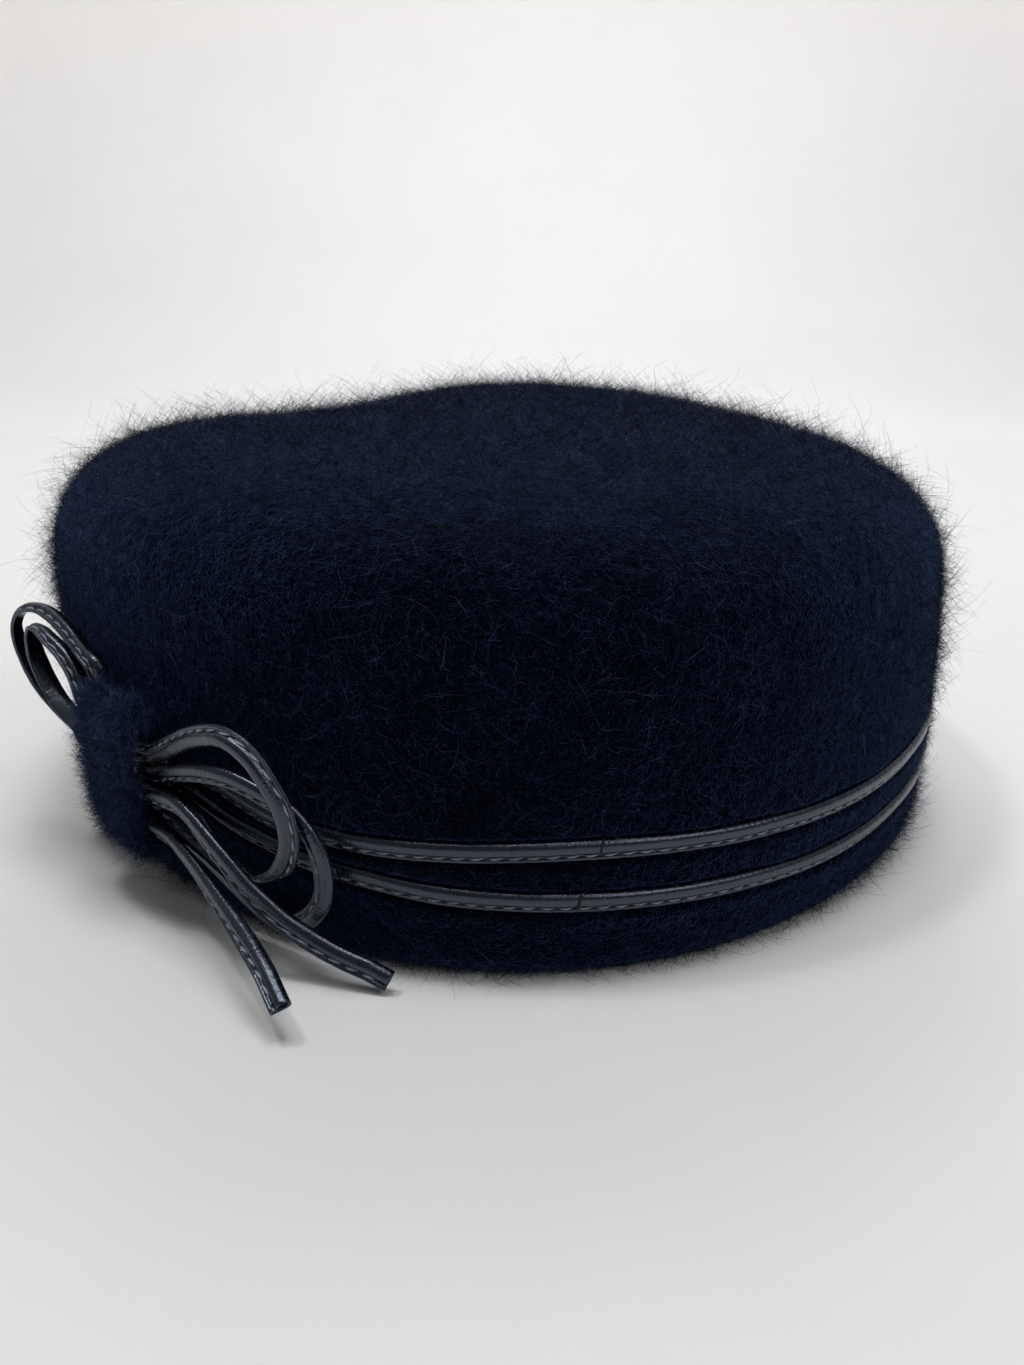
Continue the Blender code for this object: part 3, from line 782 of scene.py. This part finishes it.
def turned_form(profile):
    """A profile turned once round the crown's axis."""
    mesh = bpy.data.meshes.new("crown_profile")
    edges = [(index, index + 1) for index in range(len(profile) - 1)]
    mesh.from_pydata([(radius, 0.0, height) for radius, height in profile], edges, [])
    guide = add_object("crown_turned", mesh)
    screw = guide.modifiers.new("turn", "SCREW")
    screw.steps = CROWN_SEGMENTS
    screw.render_steps = CROWN_SEGMENTS
    screw.use_merge_vertices = True
    screw.merge_threshold = MERGE_DISTANCE
    screw.use_normal_calculate = True
    shown = guide.evaluated_get(bpy.context.evaluated_depsgraph_get())
    turned = bpy.data.meshes.new_from_object(shown)
    bpy.data.objects.remove(guide, do_unlink=True)
    form = bmesh.new()
    form.from_mesh(turned)
    bmesh.ops.remove_doubles(form, verts=form.verts, dist=MERGE_DISTANCE)
    return form


def crown_form(bands):
    """The turned crown, slumped to the soft form, lofted, bedded round the bands and made uneven."""
    outside = [(share * CROWN_RADIUS, level * CROWN_HEIGHT) for level, share in crown_rows()]
    inside = offset_outline(outside, FELT_WALL)[::INSIDE_STEP]
    outside.append((0.0, CROWN_HEIGHT))
    inside.append((0.0, CROWN_HEIGHT - FELT_WALL))
    form = turned_form(list(reversed(outside)) + inside)
    for vertex in form.verts:
        vertex.co = slump(vertex.co)
    bmesh.ops.recalc_face_normals(form, faces=form.faces)
    form.normal_update()
    for vertex in form.verts:
        swell = FELT_LUMP * lumps(vertex.co, FELT_LUMP_SPREAD)
        if vertex.normal.dot(vertex.co - Vector(HOLLOW_MIDDLE)) > 0.0:
            low = vertex.co.z < 0.5 * CROWN_HEIGHT
            swell = (FELT_PUFF + (band_bed(vertex.co, bands) if low else 0.0)) + swell
        vertex.co += vertex.normal * (swell * smooth_step(vertex.co.z / RIM_CALM))
    return form


# Leather straps


def knot_face(side, rise):
    """Distance along the crown from the bow's middle to one of the knot's side faces, at a rise."""
    return KNOT_SHIFT + side * (KNOT_HALF_WIDTH + ROOT_GAP) + rise * math.tan(math.radians(KNOT_LEAN))


def section_girth():
    """Distance round the strap's section to each of its points."""
    steps = np.diff(np.array(STRAP_SECTION) * (STRAP_WIDTH, STRAP_THICKNESS), axis=0)
    return np.concatenate(([0.0], np.cumsum(np.linalg.norm(steps, axis=1))))


def section_ways():
    """Outward direction at each point of the strap's section, as shares."""
    points = np.array(STRAP_SECTION) * (STRAP_WIDTH, STRAP_THICKNESS)
    ahead = np.roll(points, -1, axis=0) - np.roll(points, 1, axis=0)
    ways = np.stack((-ahead[:, 1], ahead[:, 0]), axis=1)
    return ways / np.linalg.norm(ways, axis=1)[:, None]


def route_ways(centres):
    """Direction of travel at each place of a route."""
    ahead = np.vstack((centres[1:], centres[-1:])) - np.vstack((centres[:1], centres[:-1]))
    return ahead / np.linalg.norm(ahead, axis=1)[:, None]


def bow_look():
    """Direction to the front of the bow."""
    round_way, up = (math.radians(angle) for angle in BOW_LOOK)
    flat = math.cos(up)
    return np.array((flat * math.cos(round_way), flat * math.sin(round_way), math.sin(up)))


def strap_frame(stations):
    """Centres, ways, faces and acrosses of a strap from rows of along, rise, out, turn and look."""
    centres = []
    outwards = []
    for along, rise, out in stations[:, :3]:
        place, outward = beside_knot(along, KNOT_LEVEL + rise, out)
        centres.append(place)
        outwards.append(outward)
    centres = np.array([list(centre) for centre in centres])
    outwards = np.array([list(outward) for outward in outwards])
    ways = route_ways(centres)
    look = stations[:, 4:5]
    across = np.cross(outwards * (1.0 - look) + bow_look() * look, ways)
    across /= np.linalg.norm(across, axis=1)[:, None]
    flat = np.cross(ways, across)
    turns = np.radians(stations[:, 3])[:, None]
    faces = flat * np.cos(turns) + across * np.sin(turns)
    across = np.cross(faces, ways)
    return centres, ways, faces, across


def strap_pieces(node, stations, lip_side, materials, free_end):
    """A strap with its folds and puckers, and the stitches along its crease."""
    leather, thread = materials
    centres, ways, faces, across = strap_frame(stations)
    travel = travelled(centres)
    bend = np.linalg.norm(np.gradient(ways, axis=0), axis=1) / np.gradient(travel)
    bend = np.convolve(bend, np.ones(BEND_SPAN) / BEND_SPAN, mode="same")
    bend = np.clip(bend * FOLD_RADIUS, 0.0, 1.0)
    outward = section_ways()
    girth = section_girth()
    seed = float(sum(ord(letter) for letter in node))
    points = len(STRAP_SECTION)
    places = np.zeros((len(centres), points + 1, 3))
    marks = np.zeros((len(centres), points + 1, 2))
    for row, distance in enumerate(travel):
        far = distance / MM
        swell = 1.0 + SWELL * noise.noise(Vector((far * SWELL_WAVES, seed, 0.0)))
        pucker = math.cos(math.pi * distance / STITCH_PITCH) ** 2
        for point, (wide, deep) in enumerate(STRAP_SECTION):
            grain = noise.noise(Vector((far * GRAIN_WAVES[0], wide * GRAIN_WAVES[1], seed)))
            fold = noise.noise(Vector((far * BEND_WAVES[0], wide * BEND_WAVES[1], seed + 7.0)))
            lift = GRAIN_FOLD * grain + BEND_FOLD * bend[row] * min(fold, FOLD_LIMIT)
            if deep > FACE_LEVEL:
                lift -= PUCKER * math.exp(-(((wide - CREASE_PLACE) / CREASE_REACH) ** 2)) * pucker
            if wide > CREASE_PLACE:
                deep = CREASE_LEVEL + (deep - CREASE_LEVEL) * swell
            side = (wide * STRAP_WIDTH + outward[point, 0] * lift) * lip_side
            rise = (deep - 0.5) * STRAP_THICKNESS + outward[point, 1] * lift
            places[row, point] = centres[row] + across[row] * side + faces[row] * rise
            marks[row, point] = (far, girth[point] / MM)
        places[row, points] = places[row, 0]
        marks[row, points] = (far, (girth[-1] + SECTION_CLOSE) / MM)
    if free_end:
        places, marks = open_end(places, marks, centres[-1], ways[-1])
    form = lofted_form(places, marks)
    strap = finish_piece("strap_" + node, form, leather, (node,))
    stitch_row("stitches_" + node, (centres, faces, across, travel), lip_side, thread)
    return strap


def open_end(places, marks, centre, way):
    """The cut end of a strap: the leather turns in and the folded tube shows hollow."""
    rows = [places]
    rims = [marks]
    for share, back in CUT_RINGS:
        ring = centre + (places[-1] - centre) * share - way * back
        rows.append(ring[None])
        rims.append(marks[-1:] + (0.3, 0.0))
    return np.concatenate(rows), np.concatenate(rims)


def thread_ring(middle, side, face, radius):
    """Round section of a thread, its first corner given again at the end."""
    angles = [2.0 * math.pi * corner / STITCH_SIDES for corner in range(STITCH_SIDES + 1)]
    ways = [side * math.cos(angle) + face * math.sin(angle) for angle in angles]
    return [middle + radius * way for way in ways]


def thread_form(rings, distances):
    """A thread through its round sections, with its marks."""
    marks = [[(distance, corner) for corner in range(STITCH_SIDES + 1)] for distance in distances]
    return lofted_form(np.array(rings), np.array(marks))


def stitch_row(name, frames, lip_side, material):
    """Joined stitches, each a short arch of thread with its ends down in the leather."""
    *tables, travel = frames
    form = bmesh.new()
    start = STITCH_START
    while start + STITCH_LENGTH < travel[-1] - STITCH_END_ROOM:
        jitter = noise.noise(Vector((start * 400.0, len(name), 3.0)))
        length = STITCH_LENGTH * (1.0 + STITCH_CHANGE[0] * jitter)
        lean = math.tan(math.radians(STITCH_SLANT + STITCH_CHANGE[1] * jitter))
        rings = []
        distances = []
        for ring in range(STITCH_RINGS):
            share = ring / (STITCH_RINGS - 1)
            at = start + share * length
            centre, face, side = (
                np.array([np.interp(at, travel, column) for column in table.T]) for table in tables
            )
            arch = math.sin(math.pi * share)
            wide = CREASE_PLACE * STRAP_WIDTH * lip_side + (share - 0.5) * length * lean
            deep = (CREASE_LEVEL - 0.5) * STRAP_THICKNESS - STITCH_SINK + arch * STITCH_ARCH
            radius = STITCH_RADIUS * (STITCH_TIP + (1.0 - STITCH_TIP) * arch)
            rings.append(thread_ring(centre + side * wide + face * deep, side, face, radius))
            distances.append(at / MM * THREAD_MARKS)
        stitch = thread_form(rings, distances)
        piece = bpy.data.meshes.new("stitch")
        stitch.to_mesh(piece)
        stitch.free()
        form.from_mesh(piece)
        bpy.data.meshes.remove(piece)
        start += STITCH_PITCH
    finish_piece(name, form, material)


def tack_stitch(name, stations, first, last, material):
    """A short dark thread over the strap's face and round its upper edge."""
    centres, ways, faces, across = (table[len(table) // 2] for table in strap_frame(stations))
    rings = []
    for (wide, deep), outward in zip(STRAP_SECTION, section_ways()):
        if deep > TACK_LEVEL and first <= wide <= last:
            out = across * outward[0] + faces * outward[1]
            place = centres + across * (wide * STRAP_WIDTH) + faces * ((deep - 0.5) * STRAP_THICKNESS)
            place = place + ways * (TACK_DRIFT * len(rings)) + out * (TACK_STAND * TACK_RADIUS)
            rings.append(thread_ring(place, out, ways, TACK_RADIUS))
    finish_piece(name, thread_form(rings, range(len(rings))), material)


def band_stations(rows, roots):
    first, last = ((root - 1.0) * KNOT_LEVEL for root in roots)
    lie = STRAP_SEAT + 0.5 * STRAP_THICKNESS - BAND_SINK
    arcs = [(math.radians(turn) * CROWN_RADIUS, (level - 1.0) * KNOT_LEVEL) for turn, level in rows]
    arcs.insert(0, (knot_face(1.0, first), first))
    arcs.insert(0, (knot_face(1.0, first) - STRAP_TUCK, first))
    around = 2.0 * math.pi * CROWN_RADIUS
    arcs.append((around + knot_face(-1.0, last), last))
    arcs.append((around + knot_face(-1.0, last) + STRAP_TUCK, last))
    smooth = smooth_rows(arcs, step=STATION_STEP)
    flat = np.tile((lie, 0.0, 0.0), (len(smooth), 1))
    return np.hstack((smooth, flat))


def root_rows(side, root, turn):
    """Rows of a strap's route inside the knot and at its side face."""
    rise = root[0] * BOW_RISE
    out = root[1] * BOW_STAND
    face = (knot_face(side, rise), rise, out, turn, 0.0)
    inside = (face[0] - side * STRAP_TUCK, 0.8 * rise, 0.5 * out + 0.22 * KNOT_DEPTH, turn, 0.0)
    return [inside, face]


def bow_stations(rows, side, first, last):
    """Even stations of a strap of the bow; a row that gives no turn or look has none."""
    scale = np.array((BOW_REACH, BOW_RISE, BOW_STAND, 1.0, 1.0))
    route = [tuple(scale * (*row, 0.0, 0.0)[:5]) for row in rows]
    route = root_rows(side, first, route[0][3]) + route
    if last is not None:
        route += list(reversed(root_rows(side, last, route[-1][3])))
    return smooth_rows(route, step=STATION_STEP)


# Felt knot


def squared(value):
    """A sine or cosine drawn out, so that its curve is a little square."""
    return math.copysign(abs(value) ** KNOT_SQUARE, value)


def knot_place(share, wide, deep):
    """Place on the knot: share of the way over the straps, across it, and 0 outside or 1 inside."""
    angle = math.radians(KNOT_ARC[0] + KNOT_ARC[1] * share)
    ripple = math.cos(math.pi * wide)
    less, start = KNOT_ROUNDING
    rounding = less * smooth_step((abs(wide) - start) / (1.0 - start))
    inset = KNOT_WALL * deep * (1.0 - KNOT_THIN + KNOT_THIN * ripple)
    high = KNOT_HALF_HEIGHT * (1.0 - KNOT_WAIST * ripple - rounding) - inset
    half_depth = 0.5 * KNOT_DEPTH * (1.0 - KNOT_DIP * math.cos(2.0 * math.pi * wide))
    rise = high * squared(math.cos(angle))
    out = half_depth + (half_depth - inset) * squared(math.sin(angle))
    edge = smooth_step((abs(wide) - KNOT_CURL_START) / (1.0 - KNOT_CURL_START))
    curl = KNOT_CURL * noise.noise(Vector((share * 9.0, wide * 0.7, 2.0))) * edge
    out += KNOT_EDGE_LIFT * edge * noise.noise(Vector((share * 13.0, wide, 8.0)))
    lean = rise * math.tan(math.radians(KNOT_LEAN))
    along = KNOT_SHIFT + wide * (KNOT_HALF_WIDTH + curl) + lean
    return beside_knot(along, KNOT_LEVEL + rise, KNOT_SEAT + max(out, KNOT_DEEPEST))[0]


def knot_form():
    """A strip of felt that bends over the straps, from the crown above them to the crown below."""
    across = [-1.0 + 2.0 * corner / KNOT_CORNERS for corner in range(KNOT_CORNERS)]
    section = [(wide, 0.0) for wide in across] + [(-wide, 1.0) for wide in across]
    section.append(section[0])
    shares = [row / (KNOT_ROWS - 1) for row in range(KNOT_ROWS)]
    places = [[knot_place(share, wide, deep) for wide, deep in section] for share in shares]
    marks = [[(share * 60.0, wide * 10.0) for wide, deep in section] for share in shares]
    form = lofted_form(np.array(places), np.array(marks))
    bmesh.ops.subdivide_edges(form, edges=form.edges, cuts=1, use_grid_fill=True, smooth=0.5)
    form.normal_update()
    for vertex in form.verts:
        vertex.co += vertex.normal * (KNOT_LUMP * lumps(vertex.co, KNOT_LUMP_SPREAD))
    return form


# Nap


def surface_roots(piece, count, rng, keep):
    """Random places on a piece's faces that pass a test, with the normals there."""
    mesh = piece.data
    mesh.calc_loop_triangles()
    corners = np.zeros(len(mesh.vertices) * 3)
    mesh.vertices.foreach_get("co", corners)
    corners = corners.reshape(-1, 3)
    triangles = np.zeros(len(mesh.loop_triangles) * 3, dtype=int)
    mesh.loop_triangles.foreach_get("vertices", triangles)
    a, b, c = (corners[triangles.reshape(-1, 3)[:, corner]] for corner in range(3))
    normals = np.cross(b - a, c - a)
    areas = 0.5 * np.linalg.norm(normals, axis=1)
    normals /= np.maximum(np.linalg.norm(normals, axis=1), 1e-12)[:, None]
    areas *= keep((a + b + c) / 3.0, normals)
    chosen = rng.choice(len(areas), size=count, p=areas / areas.sum())
    first = np.sqrt(rng.random(count))[:, None]
    second = rng.random(count)[:, None]
    roots = (1.0 - first) * a[chosen] + first * (1.0 - second) * b[chosen]
    roots += first * second * c[chosen]
    return roots, normals[chosen]


def fibre_paths(roots, normals, lengths, lifts, curl, steps, rng):
    """Curved paths that rise from the felt and droop, a row of steps + 1 places for each fibre."""
    count = len(roots)
    heading = np.cross(normals, rng.normal(size=(count, 3)))
    heading /= np.linalg.norm(heading, axis=1)[:, None]
    beside = np.cross(normals, heading)
    turn = np.zeros(count)
    drift = rng.normal(0.0, math.radians(curl), count)
    place = roots - normals * NAP_SINK
    paths = [place]
    for step in range(steps):
        share = step / max(steps - 1, 1)
        lift = lifts * (1.0 - NAP_DROOP * share)
        way = heading * np.cos(turn)[:, None] + beside * np.sin(turn)[:, None]
        way = way * np.cos(lift)[:, None] + normals * np.sin(lift)[:, None]
        place = place + way * (lengths / steps)[:, None]
        paths.append(place)
        turn += drift + rng.normal(0.0, math.radians(curl) * NAP_WANDER, count)
    paths = np.stack(paths, axis=1)
    start = paths[:, :1]
    rise = np.maximum(paths[:, :, 2].max(axis=1) - start[:, 0, 2], 1e-6)
    fit = np.clip((NAP_TOP - start[:, 0, 2]) / rise, 0.0, 1.0)
    return start + (paths - start) * fit[:, None, None]


def fibre_mesh(name, paths, width, tone, rng, material):
    """Joined thin fibres, each a tapering ribbon that ends in a point."""
    count, stops = paths.shape[:2]
    paths[:, :, 2] = np.maximum(paths[:, :, 2], NAP_FLOOR)
    ways = np.diff(paths, axis=1)
    ways = np.concatenate((ways, ways[:, -1:]), axis=1)
    sides = np.cross(ways, rng.normal(size=(count, 1, 3)))
    sides /= np.maximum(np.linalg.norm(sides, axis=2), 1e-9)[:, :, None]
    taper = (width * np.linspace(1.0, NAP_TAPER, stops) * 0.5)[None, :, None]
    left = (paths - sides * taper)[:, :-1]
    right = (paths + sides * taper)[:, :-1]
    pairs = np.stack((left, right), axis=2).reshape(count, -1, 3)
    corners = np.concatenate((pairs, paths[:, -1:]), axis=1)
    each = corners.shape[1]
    ladder = [(2 * step, 2 * step + 1, 2 * step + 3, 2 * step + 2) for step in range(stops - 2)]
    tip = [(each - 3, each - 2, each - 1)]
    faces = []
    bases = np.arange(count)[:, None] * each
    for rung in ladder + tip:
        faces += (bases + np.array(rung)[None]).tolist()
    mesh = bpy.data.meshes.new(name)
    mesh.from_pydata(corners.reshape(-1, 3), [], faces)
    shares = np.concatenate((np.repeat(np.arange(stops - 1), 2), [stops - 1])) / (stops - 1)
    marks = np.stack((np.repeat(tone, each), np.tile(shares, count)), axis=1)
    layer = mesh.uv_layers.new(name="marks")
    loops = np.zeros(len(mesh.loops), dtype=int)
    mesh.loops.foreach_get("vertex_index", loops)
    layer.data.foreach_set("uv", marks[loops].ravel())
    show_piece(name, mesh, material)


def outer_side(centres, normals):
    """The outside of the crown: faces that look away from the middle of the hollow."""
    from_middle = centres - np.array(HOLLOW_MIDDLE)
    return ((normals * from_middle).sum(axis=1) > 0.0) & (centres[:, 2] > RIM_CLEAR)


def knot_outside(centres, normals):
    """The faces of the knot that look away from the crown."""
    radial = centres * (1.0, 1.0, 0.0)
    return (normals * radial).sum(axis=1) > -0.2 * np.linalg.norm(radial, axis=1)


def grow_nap(felt, knot, straps, material):
    """Layers of nap on the crown and the knot, kept off the straps."""
    rng = np.random.default_rng(NAP_SEED)
    share = 1.0
    tree = strap_tree(straps)
    for name, fibres, pieces, length, spread, width, lift, sway, curl, steps, rare in NAP_LAYERS:
        amount = int(fibres * share / pieces)
        on_knot = int(KNOT_NAP_SHARE * amount)
        for part in range(pieces):
            roots, normals = surface_roots(felt, amount - on_knot, rng, outer_side)
            knot_roots, knot_normals = surface_roots(knot, on_knot, rng, knot_outside)
            roots = np.concatenate((roots, knot_roots))
            normals = np.concatenate((normals, knot_normals))
            room = np.array([tree.find_nearest(Vector(root))[3] for root in roots])
            wanted = length * np.exp(rng.normal(0.0, spread, amount))
            lengths = np.minimum(wanted, ROOM_SHARE * room + ROOM_MORE)
            lengths[-on_knot:] = np.minimum(wanted[-on_knot:], KNOT_NAP_LENGTH)
            free = room > STRAP_CLEAR
            free[-on_knot:] = room[-on_knot:] > KNOT_CLEAR
            lifts = np.radians(np.clip(rng.normal(lift, sway, amount), *NAP_LIFTS))
            tone = rng.random(amount) ** rare
            # Painted light: the knot's fibres are painted paler.
            tone[-on_knot:] = KNOT_NAP_PAINTED_LIGHT + (1.0 - KNOT_NAP_PAINTED_LIGHT) * tone[-on_knot:]
            grown = (table[free] for table in (roots, normals, lengths, lifts))
            paths = fibre_paths(*grown, curl, steps, rng)
            label = name if pieces == 1 else f"{name}_{part + 1}"
            fibre_mesh(label, paths, width, tone[free], rng, material)


def strap_tree(straps):
    form = bmesh.new()
    for strap in straps:
        form.from_mesh(strap.data)
    tree = BVHTree.FromBMesh(form)
    form.free()
    return tree


# Stage


def build_stage():
    """Pale floor that sweeps up into a pale background."""
    profile = [(FLOOR_FRONT, 0.0), (FLOOR_BACK, 0.0)]
    for step in range(1, SWEEP_STEPS + 1):
        angle = math.radians(90.0 * step / SWEEP_STEPS)
        depth = FLOOR_BACK + SWEEP_RADIUS * math.sin(angle)
        profile.append((depth, SWEEP_RADIUS * (1.0 - math.cos(angle))))
    profile.append((FLOOR_BACK + SWEEP_RADIUS, WALL_HEIGHT))
    form = bmesh.new()
    corners = [form.verts.new((-FLOOR_HALF_WIDTH, *place)) for place in profile]
    edges = [form.edges.new(pair) for pair in zip(corners, corners[1:])]
    swept = bmesh.ops.extrude_edge_only(form, edges=edges)
    moved = [item for item in swept["geom"] if isinstance(item, bmesh.types.BMVert)]
    bmesh.ops.translate(form, verts=moved, vec=(2.0 * FLOOR_HALF_WIDTH, 0.0, 0.0))
    mesh = smooth_mesh("pale_floor", form)
    mesh.materials.append(card_material())
    floor = add_object("pale_floor", mesh)


def build_light():
    """A room that is brighter to the back and above, and four soft lights that face the hat."""
    world = bpy.data.worlds.new("soft_room")
    world.use_nodes = True
    tree = world.node_tree
    sides = split_axes(tree, new_node(tree, "TexCoord", {})["Generated"])
    spreads = [
        range_node(tree, sides[axis], start, ROOM_END, low, high, "SMOOTHSTEP")
        for axis, start, low, high in ROOM
    ]
    strength = math_node(tree, "MULTIPLY", *spreads)
    values = {"Color": (0.97, 0.985, 1.0, 1.0), "Strength": strength}
    join(tree, tree.nodes["Background"], values)
    bpy.context.scene.world = world
    bpy.context.scene.view_settings.view_transform = "Standard"
    for name, place, width, power, colour in LIGHTS:
        light = bpy.data.lights.new(name, "AREA")
        light.size = width
        light.energy = power
        light.color = colour
        item = add_object(name, light)
        item.location = place
        item.rotation_euler = (-Vector(place)).to_track_quat("-Z", "Y").to_euler()
        item.visible_camera = False


def build_camera():
    lens = bpy.data.cameras.new("photo_view")
    lens.sensor_width = CAMERA_SENSOR
    lens.lens = CAMERA_LENS
    lens.clip_start = 10.0 * MM
    camera = add_object("photo_view", lens)
    camera.location = CAMERA_PLACE
    camera.rotation_euler = (math.radians(90.0 - CAMERA_DOWN), 0.0, 0.0)
    bpy.context.scene.camera = camera


def build_hat():
    felt_cloth = felt_material("navy_felt", 1.0)
    # The knot's felt is a lit copy of the crown's felt: painted light.
    knot_painted_light_cloth = felt_material("navy_felt_knot_painted_light", KNOT_PAINTED_LIGHT)
    nap = nap_material()
    leather = leather_material()
    thread = thread_material("grey_blue_thread", (0.400, 0.460, 0.580))
    tack_thread = thread_material("black_tack_thread", (0.0030, 0.0035, 0.0060))
    bands = {
        "band_upper": band_stations(UPPER_BAND, UPPER_BAND_ROOTS),
        "band_lower": band_stations(LOWER_BAND, LOWER_BAND_ROOTS),
    }
    crown = crown_form(list(bands.values()))
    felt = finish_piece("felt_crown", crown, felt_cloth, ("crown",))
    knot = finish_piece("felt_knot", knot_form(), knot_painted_light_cloth, ("knot",))
    straps = []
    for node, stations in bands.items():
        straps.append(strap_pieces(node, stations, 1.0, (leather, thread), False))
    for node, along, first, last in TACKS:
        at = int(np.argmin(np.abs(bands[node][:, 0] - along)))
        tack_stitch("tack_" + node, bands[node][at - 2 : at + 3], first, last, tack_thread)
    for node, rows, side, first, last, lip_side in BOW_STRAPS:
        stations = bow_stations(rows, side, first, last)
        straps.append(strap_pieces(node, stations, lip_side, (leather, thread), last is None))
    grow_nap(felt, knot, straps, nap)


build_stage()
build_light()
build_camera()
build_hat()
